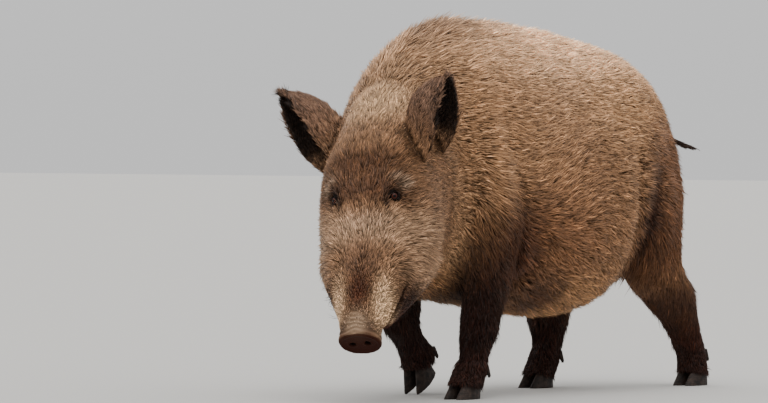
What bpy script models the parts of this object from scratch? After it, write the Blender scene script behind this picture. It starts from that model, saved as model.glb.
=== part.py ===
"""A wild boar, life size, walking with its head turned to its left.

Run with: blender --background --python part.py

The boar heads towards -Y, its left side is +X and +Z is up, in metres. Every outline is the
outside of the coat. The body is modelled straight, in body coordinates: "forward" is measured
from the rump towards the head and "height" from the ground. The neck is then bent sideways,
and thin cuts part the whole body into its named pieces.
"""

import math

import bmesh
import bpy
import numpy as np
from mathutils import Matrix, Vector
from mathutils.bvhtree import BVHTree

# ---------------------------------------------------------------- driving dimensions
CREST_HEIGHT = 0.854  # crest of the mane over the shoulders
TRUNK_LENGTH = 0.950  # rump to the front of the shoulders
HEAD_PITCH = math.radians(66)  # how far the head points down
HEAD_ROLL = math.radians(4.5)  # how far it tips over to the right
POLL = np.array([1.082, 0.560])  # forward and height of the joint of head and neck
# The neck's bend to the left: distances forward, and the heading reached at each, in degrees.
BEND_PLACES = [0.780, 0.960, 1.050]
BEND_HEADINGS = [0.0, 30.0, 17.0]
GAP = 0.0003  # clearance between neighbouring solids

AROUND_BODY = 32
AROUND_LEG = 12
RINGS_PER_STATION = 2

SIDES = {"left": 1.0, "right": -1.0}

COAT_COLOUR = (0.24, 0.13, 0.07)
DARK_COAT_COLOUR = (0.03, 0.014, 0.009)
SNOUT_COLOUR = (0.045, 0.014, 0.009)
HORN_COLOUR = (0.03, 0.024, 0.02)
EYE_COLOUR = (0.02, 0.008, 0.005)


# ---------------------------------------------------------------- general tools
def clear_scene():
    for obj in list(bpy.data.objects):
        bpy.data.objects.remove(obj, do_unlink=True)


def material(name, colour, roughness):
    mat = bpy.data.materials.new(name)
    mat.use_nodes = True
    shader = mat.node_tree.nodes["Principled BSDF"]
    shader.inputs["Base Color"].default_value = (*colour, 1.0)
    shader.inputs["Roughness"].default_value = roughness
    return mat


def new_object(name, bm):
    """Turns a bmesh into a linked object of triangles, facing out, and frees the bmesh."""
    bmesh.ops.triangulate(bm, faces=bm.faces)
    bm.normal_update()
    bmesh.ops.recalc_face_normals(bm, faces=bm.faces)
    if bm.calc_volume(signed=True) < 0:
        bmesh.ops.reverse_faces(bm, faces=bm.faces)
    mesh = bpy.data.meshes.new(name)
    bm.to_mesh(mesh)
    bm.free()
    obj = bpy.data.objects.new(name, mesh)
    bpy.context.scene.collection.objects.link(obj)
    return obj


def smooth_steps(rows, steps):
    """Catmull-Rom curve through the rows: steps points for each interval, the ends included."""
    rows = np.asarray(rows, float)
    padded = np.vstack([2 * rows[0] - rows[1], rows, 2 * rows[-1] - rows[-2]])
    out = []
    for i in range(len(rows) - 1):
        a, b, c, d = padded[i : i + 4]
        for t in np.arange(steps) / steps:
            out.append(
                0.5 * (2 * b + (c - a) * t + (2 * a - 5 * b + 4 * c - d) * t**2 + (3 * b - a - 3 * c + d) * t**3)
            )
    out.append(rows[-1])
    return np.array(out)


def ring_points(station, around):
    """One cross-section as (side, forward, height) rows. A station holds the section's upper (or
    front) end, its lower (or back) end, the middle's sideways place, the half width, the level of
    the widest point from -1 to 1, and how pointed the upper and lower halves are (1 is round)."""
    top, bottom = station[0:2], station[2:4]
    middle_x, half_width, level, point_top, point_bottom = station[4:9]
    angle = np.arange(around) * 2 * math.pi / around
    across, along = np.cos(angle), np.sin(angle)
    share = np.where(along >= 0, level + along * (1 - level), level + along * (1 + level))
    power = np.where(along >= 0, point_top, point_bottom)
    x = middle_x + half_width * np.sign(across) * np.abs(across) ** power
    centre, half = (top + bottom) / 2, (top - bottom) / 2
    return np.column_stack([x, centre[None, :] + share[:, None] * half[None, :]])


def loft(stations, around, steps):
    """Bridges the rings of smoothly spaced stations into one closed bmesh."""
    bm = bmesh.new()
    previous = None
    for station in smooth_steps(stations, steps):
        ring = [bm.verts.new(p) for p in ring_points(station, around)]
        if previous is None:
            bm.faces.new(ring[::-1])
        else:
            for i in range(around):
                j = (i + 1) % around
                bm.faces.new((previous[i], previous[j], ring[j], ring[i]))
        previous = ring
    bm.faces.new(previous)
    return bm


def head_to_body(along, out):
    """Head coordinates (from the poll towards the snout, and out of the face) to body ones."""
    axis = np.array([math.cos(HEAD_PITCH), -math.sin(HEAD_PITCH)])
    face = np.array([math.sin(HEAD_PITCH), math.cos(HEAD_PITCH)])
    return POLL + along * axis + out * face


def head_point(side, along, out):
    forward, height = head_to_body(along, out)
    return np.array([side, forward, height])


ROLL_HEIGHT = 0.42  # the level that the roll of the head turns about
LEG_BEND = [0.22, 0.34]  # the forelegs stand straight below these levels, and bend above them


def turned(points, with_head=1.0):
    """Body coordinates to the world. What goes with the head (1) moves as one piece with it, and
    what doesn't (0) follows the bend of the neck. with_head may hold a share for each point."""
    points = np.atleast_2d(np.asarray(points, float))
    side, forward, height = points.T
    above = height - ROLL_HEIGHT
    bent = np.interp(height, LEG_BEND, [0, 1])
    step = 0.002
    path = np.arange(BEND_PLACES[0], BEND_PLACES[-1] + step / 2, step)
    headings = np.radians(np.interp(path, BEND_PLACES, BEND_HEADINGS))
    path_x = np.concatenate([[0], np.cumsum(np.sin(headings[:-1]) * step)])
    path_y = path[0] + np.concatenate([[0], np.cumsum(np.cos(headings[:-1]) * step)])

    places = []
    for along in (path[0] + (forward - path[0]) * bent, np.full_like(forward, path[-1])):
        heading = np.interp(along, path, headings)
        roll = HEAD_ROLL * np.interp(along, [path[0], path[-1]], [0, 1])
        rest = forward - np.clip(along, path[0], path[-1])
        across = side * np.cos(roll) - above * np.sin(roll)
        x = np.interp(along, path, path_x) + rest * np.sin(heading) + across * np.cos(heading)
        y = np.interp(along, path, path_y) + rest * np.cos(heading) - across * np.sin(heading)
        z = ROLL_HEIGHT + side * np.sin(roll) + above * np.cos(roll)
        places.append(np.column_stack([x, TRUNK_LENGTH / 2 - y, z]))
    share = np.reshape(with_head, (-1, 1))
    return places[0] * (1 - share) + places[1] * share


def turn_mesh(bm, with_head=1.0):
    placed = turned([v.co for v in bm.verts], with_head)
    for vert, place in zip(bm.verts, placed):
        vert.co = place


def boolean(obj, cutter, operation, solver="EXACT"):
    """Applies a Boolean to obj."""
    modifier = obj.modifiers.new(operation.lower(), "BOOLEAN")
    modifier.operation = operation
    modifier.object = cutter
    modifier.solver = solver
    graph = bpy.context.evaluated_depsgraph_get()
    mesh = bpy.data.meshes.new_from_object(obj.evaluated_get(graph))
    obj.modifiers.remove(modifier)
    old = obj.data
    obj.data = mesh
    bpy.data.meshes.remove(old)


def discard(*objs):
    for obj in objs:
        bpy.data.objects.remove(obj, do_unlink=True)


def swollen(obj, by):
    """A copy of obj with every vertex pushed out by that much, as a cutter for its socket."""
    bm = bmesh.new()
    bm.from_mesh(obj.data)
    bmesh.ops.remove_doubles(bm, verts=bm.verts, dist=1e-6)
    bm.normal_update()
    moves = [v.normal * by for v in bm.verts]
    for vert, move in zip(bm.verts, moves):
        vert.co += move
    return new_object(obj.name + "_socket", bm)


def seat(piece, host):
    """Cuts the piece's socket into its host, with the clearance all round."""
    cutter = swollen(piece, GAP)
    boolean(host, cutter, "DIFFERENCE")
    discard(cutter)


# ---------------------------------------------------------------- trunk, neck and head
# Each station: upper end (forward, height), lower end (forward, height), sideways middle, half
# width, level of the widest point, pointedness of the upper and of the lower half.
TRUNK_STATIONS = {
    "rump_tip": (0.044, 0.580, 0.040, 0.530, 0, 0.030, 0, 1.0, 1.0),
    "buttocks": (0.054, 0.660, 0.046, 0.410, 0, 0.100, 0, 0.95, 1.0),
    "croup": (0.096, 0.737, 0.076, 0.325, 0, 0.152, 0.00, 1.0, 0.9),
    "hips": (0.185, 0.785, 0.165, 0.275, 0, 0.190, 0.00, 1.05, 0.9),
    "loin": (0.300, 0.809, 0.300, 0.190, 0, 0.212, -0.15, 1.1, 0.9),
    "belly": (0.430, 0.832, 0.430, 0.170, 0, 0.222, -0.20, 1.15, 0.9),
    "ribs": (0.560, 0.847, 0.560, 0.186, 0, 0.220, -0.15, 1.2, 0.9),
    "withers": (0.680, CREST_HEIGHT, 0.680, 0.200, 0, 0.205, -0.05, 1.25, 1.0),
    "shoulders": (0.785, 0.850, 0.775, 0.213, 0, 0.186, 0.0, 1.3, 1.0),
    "neck_base": (0.885, 0.810, 0.865, 0.224, 0, 0.164, 0.0, 1.3, 1.0),
    "neck": (0.980, 0.747, 0.930, 0.238, 0, 0.148, 0.0, 1.25, 1.0),
    "nape": (1.065, 0.675, 0.985, 0.254, 0, 0.138, 0.0, 1.1, 1.0),
}

# Each head station, in head coordinates: upper end (along, out), lower end (along, out), then half
# width, level of the widest point, pointedness of the upper and of the lower half.
HEAD_STATIONS = {
    "poll": (0.005, 0.078, 0.232, -0.186, 0.137, -0.02, 0.95, 1.0),
    "forehead": (0.060, 0.074, 0.248, -0.165, 0.136, -0.08, 0.90, 1.0),
    "brow": (0.112, 0.066, 0.262, -0.148, 0.134, -0.14, 0.98, 1.0),
    "eyes": (0.150, 0.056, 0.275, -0.142, 0.134, -0.16, 1.05, 1.0),
    "cheeks": (0.195, 0.044, 0.290, -0.136, 0.133, -0.18, 1.0, 1.0),
    "mouth_corner": (0.250, 0.034, 0.314, -0.128, 0.125, -0.15, 0.95, 0.95),
    "muzzle": (0.310, 0.027, 0.352, -0.110, 0.099, -0.05, 0.85, 0.9),
    "lips": (0.365, 0.024, 0.390, -0.088, 0.070, 0.0, 0.85, 0.9),
    "muzzle_end": (0.408, 0.025, 0.412, -0.062, 0.0540, 0.0, 0.85, 0.9),
}
SNOUT_START = 0.420  # where the snout disc joins the muzzle, from the poll


def body_stations():
    rows = [list(row) for row in TRUNK_STATIONS.values()]
    _, out_top, _, out_bottom, *shape = HEAD_STATIONS["muzzle_end"]
    front = (SNOUT_START, out_top, SNOUT_START, out_bottom + 0.004, *shape)
    for station in [*HEAD_STATIONS.values(), front]:
        rows.append([*head_to_body(*station[0:2]), *head_to_body(*station[2:4]), 0.0, *station[4:]])
    return np.array(rows)


# Soft swellings and hollows of the body: place in head coordinates (side, along, out), reach in
# each of those directions, and how far the surface moves out of (or into) the body there.
FACE_FORMS = [
    ((0.060, 0.105, 0.050), (0.026, 0.022, 0.030), 0.007),  # brow ridge
    ((0.076, 0.138, 0.025), (0.020, 0.018, 0.024), -0.008),  # eye socket
    ((0.000, 0.245, 0.036), (0.024, 0.050, 0.020), 0.004),  # bridge of the nose
    ((0.050, 0.270, 0.020), (0.018, 0.060, 0.022), -0.006),  # groove beside the bridge
    ((0.054, 0.345, -0.020), (0.022, 0.040, 0.018), 0.004),  # lip over the canine tooth
]


def shape_face(bm):
    """Pushes the head's surface along its own normals by the face forms, on both sides."""
    bm.normal_update()
    axis = head_to_body(1, 0) - POLL
    face = head_to_body(0, 1) - POLL
    moves = []
    for vert in bm.verts:
        local = np.array(vert.co)
        rel = local[1:] - POLL
        place = np.array([abs(local[0]), rel @ axis, rel @ face])
        push = 0.0
        for centre, reach, height in FACE_FORMS:
            away = (place - np.array(centre)) / np.array(reach)
            push += height * math.exp(-float(away @ away))
        moves.append(vert.normal * push)
    for vert, move in zip(bm.verts, moves):
        vert.co += move


def make_body():
    bm = loft(body_stations(), AROUND_BODY, RINGS_PER_STATION)
    bmesh.ops.recalc_face_normals(bm, faces=bm.faces)
    shape_face(bm)
    rings = np.arange(len(bm.verts)) // AROUND_BODY / RINGS_PER_STATION
    turn_mesh(bm, np.clip(rings - (len(TRUNK_STATIONS) - 1), 0, 1))
    return new_object("trunk", bm)


# ---------------------------------------------------------------- legs
# Each leg station: front end (forward, height), back end (forward, height), sideways middle on
# the left side, half width, then level and pointedness as on the trunk.
SHOULDER = [
    (0.850, 0.640, 0.730, 0.660, 0.120, 0.050, 0, 1.0, 1.0),
    (0.885, 0.520, 0.680, 0.540, 0.130, 0.074, 0, 1.0, 1.0),
    (0.880, 0.400, 0.655, 0.400, 0.132, 0.078, 0, 1.0, 1.0),
]
LEG_STATIONS = {
    "fore_left": [
        *SHOULDER,
        (0.838, 0.315, 0.672, 0.300, 0.126, 0.064, 0, 1.0, 1.0),
        (0.800, 0.250, 0.690, 0.240, 0.121, 0.053, 0, 1.0, 1.0),
        (0.800, 0.190, 0.705, 0.185, 0.117, 0.046, 0, 1.0, 1.0),
        (0.804, 0.145, 0.716, 0.145, 0.115, 0.044, 0, 1.0, 1.0),
        (0.804, 0.095, 0.746, 0.095, 0.115, 0.035, 0, 0.9, 1.0),
        (0.824, 0.066, 0.748, 0.062, 0.115, 0.038, 0, 0.9, 1.0),
        (0.846, 0.036, 0.766, 0.022, 0.115, 0.039, 0, 0.9, 1.0),
    ],
    "fore_right": [
        *SHOULDER,
        (0.845, 0.315, 0.672, 0.290, 0.126, 0.063, 0, 1.0, 1.0),
        (0.818, 0.240, 0.690, 0.222, 0.122, 0.052, 0, 1.0, 1.0),
        (0.806, 0.190, 0.702, 0.182, 0.119, 0.045, 0, 1.0, 1.0),
        (0.790, 0.150, 0.704, 0.158, 0.118, 0.043, 0, 1.0, 1.0),
        (0.754, 0.112, 0.682, 0.128, 0.117, 0.036, 0, 0.9, 1.0),
        (0.737, 0.084, 0.653, 0.102, 0.116, 0.038, 0, 0.9, 1.0),
        (0.729, 0.056, 0.655, 0.076, 0.116, 0.040, 0, 0.9, 1.0),
    ],
    "hind_left": [
        (0.290, 0.600, 0.060, 0.580, 0.105, 0.075, 0, 1.0, 1.0),
        (0.290, 0.480, 0.040, 0.460, 0.112, 0.086, 0, 1.0, 1.0),
        (0.275, 0.370, 0.044, 0.350, 0.112, 0.082, 0, 1.0, 1.0),
        (0.222, 0.280, 0.024, 0.278, 0.108, 0.066, 0, 1.0, 1.0),
        (0.145, 0.215, -0.030, 0.228, 0.104, 0.052, 0, 1.0, 1.0),
        (0.068, 0.165, -0.044, 0.190, 0.101, 0.043, 0, 1.0, 0.9),
        (0.016, 0.115, -0.060, 0.134, 0.100, 0.036, 0, 0.9, 0.9),
        (-0.014, 0.072, -0.082, 0.068, 0.100, 0.036, 0, 0.9, 1.0),
        (-0.016, 0.036, -0.092, 0.022, 0.100, 0.038, 0, 0.9, 1.0),
    ],
    "hind_right": [
        (0.290, 0.600, 0.060, 0.580, 0.105, 0.075, 0, 1.0, 1.0),
        (0.345, 0.480, 0.060, 0.440, 0.112, 0.088, 0, 1.0, 1.0),
        (0.380, 0.380, 0.100, 0.320, 0.112, 0.084, 0, 1.0, 1.0),
        (0.362, 0.285, 0.138, 0.235, 0.108, 0.068, 0, 1.0, 1.0),
        (0.320, 0.215, 0.162, 0.190, 0.104, 0.050, 0, 1.0, 1.0),
        (0.294, 0.150, 0.184, 0.150, 0.101, 0.043, 0, 1.0, 0.9),
        (0.278, 0.105, 0.206, 0.100, 0.100, 0.035, 0, 0.9, 0.9),
        (0.292, 0.068, 0.216, 0.062, 0.100, 0.036, 0, 0.9, 1.0),
        (0.312, 0.036, 0.236, 0.022, 0.100, 0.038, 0, 0.9, 1.0),
    ],
}


def make_leg(name):
    side = SIDES[name.split("_")[1]]
    stations = np.array(LEG_STATIONS[name])
    stations[:, 4] *= side
    bm = loft(stations, AROUND_LEG, RINGS_PER_STATION)
    turn_mesh(bm, 0.0)
    return new_object(name, bm)


# ---------------------------------------------------------------- snout, eyes, ears, tail
SNOUT_TILT = math.radians(16)  # how far the disc faces forward of the head's axis
DISC_CENTRE = (0.460, -0.012)
DISC_HOLLOW = 0.0015  # how far the middle of the disc lies behind its rim
DISC_HALF_WIDTH, DISC_HALF_HEIGHT = 0.0500, 0.036
NOSTRIL_SIDE, NOSTRIL_RADII = 0.018, (0.0075, 0.0055, 0.012)

# Each ring of the snout: place between the muzzle's end (0) and the disc (1), scale of the ring.
SNOUT_RINGS = [(0.0, 0.97), (0.35, 0.93), (0.65, 0.98), (0.85, 1.03), (0.96, 1.01), (1.0, 0.94)]


def disc_frame():
    """Body coordinates of the disc's centre, and its sideways, upward and outward directions."""
    along, out = math.cos(SNOUT_TILT), math.sin(SNOUT_TILT)
    centre = head_point(0, *DISC_CENTRE)
    outward = head_point(0, along, out) - head_point(0, 0, 0)
    upward = head_point(0, -out, along) - head_point(0, 0, 0)
    return centre, np.array([1.0, 0, 0]), upward, outward


def make_snout():
    around = 24
    centre, sideways, upward, outward = disc_frame()
    start = head_point(0, SNOUT_START + GAP, -0.010)
    face_up = head_point(0, 0, 1) - head_point(0, 0, 0)
    angle = np.arange(around) * 2 * math.pi / around
    bm = bmesh.new()
    previous = None
    for share, scale in SNOUT_RINGS:
        middle = start + share * (centre - start)
        up = face_up + share * (upward - face_up)
        up /= np.linalg.norm(up)
        width = DISC_HALF_WIDTH * scale * np.sign(np.cos(angle)) * np.abs(np.cos(angle)) ** 0.9
        height = DISC_HALF_HEIGHT * scale * np.sign(np.sin(angle)) * np.abs(np.sin(angle)) ** 0.9
        ring = [bm.verts.new(middle + w * sideways + h * up) for w, h in zip(width, height)]
        if previous:
            for i in range(around):
                j = (i + 1) % around
                bm.faces.new((previous[i], previous[j], ring[j], ring[i]))
        else:
            bm.faces.new(ring[::-1])
        previous = ring
    hollow = bm.verts.new(centre - DISC_HOLLOW * outward)
    for i in range(around):
        bm.faces.new((previous[i], previous[(i + 1) % around], hollow))
    turn_mesh(bm)
    snout = new_object("snout", bm)
    for side in SIDES.values():
        nostril = make_ellipsoid(NOSTRIL_RADII, 10, 6)
        place = centre + side * NOSTRIL_SIDE * sideways
        rows = [sideways, upward, outward]
        for vert in nostril.verts:
            vert.co = place + sum(c * row for c, row in zip(vert.co, rows))
        turn_mesh(nostril)
        cutter = new_object("nostril", nostril)
        boolean(snout, cutter, "DIFFERENCE")
        discard(cutter)
    return snout


def make_ellipsoid(radii, segments, rings):
    bm = bmesh.new()
    bmesh.ops.create_uvsphere(bm, u_segments=segments, v_segments=rings, radius=1)
    for vert in bm.verts:
        vert.co = [c * r for c, r in zip(vert.co, radii)]
    return bm


EYE_PLACE = (0.0710, 0.138)  # sideways from the middle and along from the poll
EYE_RADIUS = 0.012
EYE_PROUD = 0.003


def make_eye(side_name, head):
    """An eyeball set where the line through its place, square to the face, meets the head."""
    side = SIDES[side_name]
    start = turned(head_point(side * EYE_PLACE[0], EYE_PLACE[1], 0.15))[0]
    target = turned(head_point(side * EYE_PLACE[0], EYE_PLACE[1], 0.0))[0]
    tree = BVHTree.FromObject(head, bpy.context.evaluated_depsgraph_get())
    hit, normal, _, _ = tree.ray_cast(Vector(start), Vector(target - start))
    bm = make_ellipsoid((EYE_RADIUS, EYE_RADIUS, EYE_RADIUS), 14, 8)
    bmesh.ops.transform(bm, matrix=Matrix.Translation(hit - normal * (EYE_RADIUS - EYE_PROUD)), verts=bm.verts)
    return new_object("eye_" + side_name, bm)


# Each ear: its lean outwards and its tilt backwards from upright, and the way its hollow faces,
# from ahead to sideways.
EARS = {
    "left": (math.radians(14), math.radians(19), math.radians(78)),
    "right": (math.radians(24), 0.0, math.radians(48)),
}
EAR_FOOT = (0.156, 0.020, -0.020)  # foot of the line between its two edges, in head coordinates
EAR_LENGTH = 0.185
EAR_HALF_OPENING = 0.047
EAR_DEPTH = 0.094
EAR_THICKNESS = 0.008
# Share of the length, size of the hollow there against the greatest, and how far the edges lie
# back towards the head.
EAR_PROFILE = [
    (-0.22, 0.76, 0.050),
    (0.00, 0.98, 0.020),
    (0.18, 1.08, 0.004),
    (0.38, 1.09, 0.000),
    (0.58, 1.02, 0.000),
    (0.76, 0.80, 0.000),
    (0.90, 0.50, 0.000),
    (1.00, 0.12, 0.000),
]


def make_ear(side_name):
    """A leaf rolled into a trough: an outer wall, an inner wall and a thin edge."""
    side = SIDES[side_name]
    lean, tilt, facing = EARS[side_name]
    foot = head_point(side * EAR_FOOT[0], *EAR_FOOT[1:])
    rise = np.array([side * math.sin(lean), math.cos(lean) * math.sin(tilt), math.cos(lean) * math.cos(tilt)])
    open_to = np.array([side * math.sin(facing), math.cos(facing), 0])
    open_to -= rise * (open_to @ rise)
    open_to /= np.linalg.norm(open_to)
    across = np.cross(rise, open_to)
    steps, around = 10, 9
    shares = np.linspace(EAR_PROFILE[0][0], 1, steps)
    profile = np.array(EAR_PROFILE).T
    scales, tucks = (np.interp(shares, profile[0], column) for column in profile[1:])
    angles = np.linspace(-math.pi / 2, math.pi / 2, around)
    bm = bmesh.new()
    walls = []
    for inset in (0.0, EAR_THICKNESS):
        wall = []
        for share, scale, tuck in zip(shares, scales, tucks):
            middle = foot + rise * EAR_LENGTH * (share - inset * (share > 0.99))
            middle = middle - np.array([side * tuck, 0, 0])
            width = max(EAR_HALF_OPENING * scale - inset * 0.5, 0.001)
            depth = max(EAR_DEPTH * scale - inset, 0.001)
            row = [middle + across * width * math.sin(t) - open_to * depth * math.cos(t) for t in angles]
            wall.append([bm.verts.new(p) for p in row])
        walls.append(wall)
    outer, inner = walls
    for i in range(steps - 1):
        for j in range(around - 1):
            bm.faces.new((outer[i][j], outer[i][j + 1], outer[i + 1][j + 1], outer[i + 1][j]))
            bm.faces.new((inner[i][j], inner[i + 1][j], inner[i + 1][j + 1], inner[i][j + 1]))
        for j in (0, around - 1):
            bm.faces.new((outer[i][j], outer[i + 1][j], inner[i + 1][j], inner[i][j]))
    for i in (0, steps - 1):
        for j in range(around - 1):
            bm.faces.new((outer[i][j], outer[i][j + 1], inner[i][j + 1], inner[i][j]))
    turn_mesh(bm)
    return new_object("ear_" + side_name, bm)


TAIL_PATH = [  # sideways, forward, height, radius
    (0.000, 0.085, 0.640, 0.013),
    (0.003, 0.035, 0.632, 0.011),
    (0.012, -0.020, 0.602, 0.007),
    (0.024, -0.060, 0.578, 0.006),
    (0.036, -0.095, 0.562, 0.007),
    (0.044, -0.120, 0.555, 0.006),
    (0.050, -0.142, 0.550, 0.002),
]


def make_tail():
    """A tapering tube along its path, thicker again at the tuft."""
    around = 7
    rows = smooth_steps(TAIL_PATH, 1)
    bm = bmesh.new()
    rings = []
    for i, row in enumerate(rows):
        ahead = Vector(rows[min(i + 1, len(rows) - 1)][:3] - rows[max(i - 1, 0)][:3]).normalized()
        first = ahead.cross(Vector((0, 0, 1))).normalized()
        second = ahead.cross(first)
        ring = []
        for k in range(around):
            t = 2 * math.pi * k / around
            ring.append(bm.verts.new(Vector(row[:3]) + (first * math.cos(t) + second * math.sin(t)) * row[3]))
        rings.append(ring)
    for before, after in zip(rings, rings[1:]):
        for i in range(around):
            j = (i + 1) % around
            bm.faces.new((before[i], before[j], after[j], after[i]))
    bm.faces.new(rings[0][::-1])
    bm.faces.new(rings[-1])
    turn_mesh(bm, 0.0)
    return new_object("tail", bm)


# ---------------------------------------------------------------- hooves
CLAW_LENGTH = 0.084
CLAW_HEIGHT = 0.046
CLAW_HALF_WIDTH = 0.0155
CLAW_SIDE = 0.0175  # middle of each claw from the middle of the foot
DEW_LENGTH, DEW_RADIUS = 0.028, 0.0090
DEW_SIDE = 0.0195  # root of each dewclaw from the middle of the foot

# Each foot: sideways middle on the left side, forward place and height of the back edge of the
# sole, the pitch of the sole (0 is flat on the ground), and the dewclaws' root (forward, height).
FEET = {
    "fore_left": (0.115, 0.776, 0.0, 0.0, (0.756, 0.068)),
    "fore_right": (0.116, 0.653, 0.050, math.radians(40), (0.662, 0.100)),
    "hind_left": (0.100, -0.084, 0.0, 0.0, (-0.074, 0.078)),
    "hind_right": (0.100, 0.244, 0.0, 0.0, (0.220, 0.078)),
}


def make_claw(foot_name, which):
    """One claw: almond-shaped rings from its flat sole to the coronet, sloping at the toe and
    worn flat where it would reach below the ground."""
    middle, heel_forward, heel_height, pitch, _ = FEET[foot_name]
    side = SIDES[foot_name.split("_")[1]]
    around = 12
    angle = np.arange(around) * 2 * math.pi / around
    bm = bmesh.new()
    previous = None
    for share in (0.0, 0.45, 1.0):
        toe = CLAW_LENGTH * (1 - 0.42 * share)
        heel = 0.004 * share
        ahead = (toe + heel) / 2 + (toe - heel) / 2 * np.cos(angle)
        narrow = 1 - 0.45 * np.clip(np.cos(angle), 0, 1) ** 2
        across = CLAW_HALF_WIDTH * (1 - 0.12 * share) * np.sin(angle) * narrow
        up = CLAW_HEIGHT * share
        forward = heel_forward + ahead * math.cos(pitch) + up * math.sin(pitch)
        height = np.maximum(heel_height - ahead * math.sin(pitch) + up * math.cos(pitch), 0)
        sideways = side * middle + which * CLAW_SIDE + across
        ring = [bm.verts.new(p) for p in np.column_stack([sideways, forward, height])]
        if previous:
            for i in range(around):
                j = (i + 1) % around
                bm.faces.new((previous[i], previous[j], ring[j], ring[i]))
        else:
            bm.faces.new(ring[::-1])
        previous = ring
    bm.faces.new(previous)
    turn_mesh(bm, 0.0)
    return bm


def make_dewclaw(foot_name, which):
    """A short cone with a worn tip behind the pastern, pointing down and back."""
    middle, _, _, pitch, root = FEET[foot_name]
    side = SIDES[foot_name.split("_")[1]]
    bm = bmesh.new()
    bmesh.ops.create_cone(
        bm, cap_ends=True, segments=8, radius1=DEW_RADIUS, radius2=DEW_RADIUS * 0.4, depth=DEW_LENGTH
    )
    lean = math.radians(24) + pitch * 0.3
    along = Vector((which * 0.18, -math.sin(lean), -math.cos(lean))).normalized()
    turn = Vector((0, 0, 1)).rotation_difference(along).to_matrix().to_4x4()
    start = Vector((side * middle + which * DEW_SIDE, *root))
    bmesh.ops.transform(bm, matrix=Matrix.Translation(start + along * DEW_LENGTH * 0.30) @ turn, verts=bm.verts)
    turn_mesh(bm, 0.0)
    return bm


# ---------------------------------------------------------------- parting the body
FAR = 0.45  # beyond the body on either side

# Outlines (forward, height) whose sideways extrusion holds a piece. Each is listed anticlockwise.
HEAD_REGION = [(0.962, 0.10), (1.60, 0.10), (1.60, 0.90), (1.045, 0.90)]
NECK_REGION = [(0.897, 0.10), (1.60, 0.10), (1.60, 0.95), (0.922, 0.95)]
# The same for the jaw, in head coordinates (along, out).
JAW_REGION = [
    (0.404, -0.25),
    (0.404, -0.029),
    (0.360, -0.024),
    (0.310, -0.018),
    (0.262, -0.018),
    (0.228, -0.060),
    (0.215, -0.120),
    (0.215, -0.25),
]
JAW_TIP_REGION = [(0.404 - GAP, -0.25), (0.45, -0.25), (0.45, -0.027), (0.404 - GAP, -0.029 + GAP)]

# For each leg: the stations where its foot, its lower leg and its upper leg begin.
LEG_PARTS = {
    "fore_left": (7.3, 4.0, 0.4),
    "fore_right": (7.3, 4.0, 0.4),
    "hind_left": (6.3, 3.3, 0.3),
    "hind_right": (6.3, 3.3, 0.3),
}
LOWER_MARGIN = 0.012  # how far a lower piece's cutter stands off the leg
UPPER_MARGIN = 0.010
UPPER_MIDDLE, UPPER_HALF = 0.180, 0.128  # sideways, the cutter of a shoulder or thigh


def extruded(outline, name, with_head):
    """A closed prism of a (forward, height) outline across the whole body."""
    bm = bmesh.new()
    ends = [[bm.verts.new((side, *point)) for point in outline] for side in (-FAR, FAR)]
    count = len(outline)
    for i in range(count):
        j = (i + 1) % count
        bm.faces.new((ends[0][i], ends[0][j], ends[1][j], ends[1][i]))
    bm.faces.new(ends[0][::-1])
    bm.faces.new(ends[1])
    turn_mesh(bm, with_head)
    return new_object(name, bm)


def rounded_top(rows):
    """Two shorter rows above the first, so that a shoulder or thigh ends in a rounded outline."""
    middle = (rows[0, 0:2] + rows[0, 2:4]) / 2
    up = rows[0, 0:2] - rows[1, 0:2]
    up /= np.linalg.norm(up)
    tops = []
    for rise, narrow in ((0.055, 0.35), (0.032, 0.75)):
        row = rows[0].copy()
        row[0:2] = middle + (rows[0, 0:2] - middle) * narrow + up * rise
        row[2:4] = middle + (rows[0, 2:4] - middle) * narrow + up * rise
        tops.append(row)
    return np.array(tops)


def sleeve(leg_name, first, last, margin, upper=False):
    """A cutter round a stretch of the leg, from station number first to last (both fractional)."""
    fine = 10
    stations = smooth_steps(LEG_STATIONS[leg_name], fine)
    picks = np.unique(np.round(np.linspace(first * fine, last * fine, 5)).astype(int))
    rows = stations[np.clip(picks, 0, len(stations) - 1)].copy()
    depth = rows[:, 0:2] - rows[:, 2:4]
    depth /= np.linalg.norm(depth, axis=1)[:, None]
    rows[:, 0:2] += depth * margin
    rows[:, 2:4] -= depth * margin
    rows[:, 5] += margin
    if upper:
        rows[:, 4] = UPPER_MIDDLE
        rows[:, 5] = UPPER_HALF
        rows[:, 7:9] = 0.5
    beyond = rows[-1].copy()
    step = rows[-1] - rows[-2]
    beyond[0:4] += step[0:4] / np.linalg.norm(step[0:2]) * 0.06
    if upper:
        rows = np.vstack([rounded_top(rows), rows])
    else:
        rows = np.vstack([rows, beyond])
    rows[:, 4] *= SIDES[leg_name.split("_")[1]]
    bm = loft(rows, 14, 1)
    turn_mesh(bm, 0.0)
    return new_object(leg_name + "_sleeve", bm)


def part_off(host, cutter, name):
    """Moves what lies inside the cutter from the host to a new piece, leaving the clearance."""
    piece = host.copy()
    piece.data = host.data.copy()
    piece.name = name
    bpy.context.scene.collection.objects.link(piece)
    boolean(piece, cutter, "INTERSECT")
    wide = swollen(cutter, GAP * 1.6)
    boolean(host, wide, "DIFFERENCE")
    discard(cutter, wide)
    return piece


def trim_against(piece, host):
    """Cuts away what the piece shares with its host, leaving the clearance. The exact solver
    leaves part of a thin shell here, so this is left to the manifold one."""
    wide = swollen(host, GAP)
    boolean(piece, wide, "DIFFERENCE", "MANIFOLD")
    discard(wide)


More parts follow.
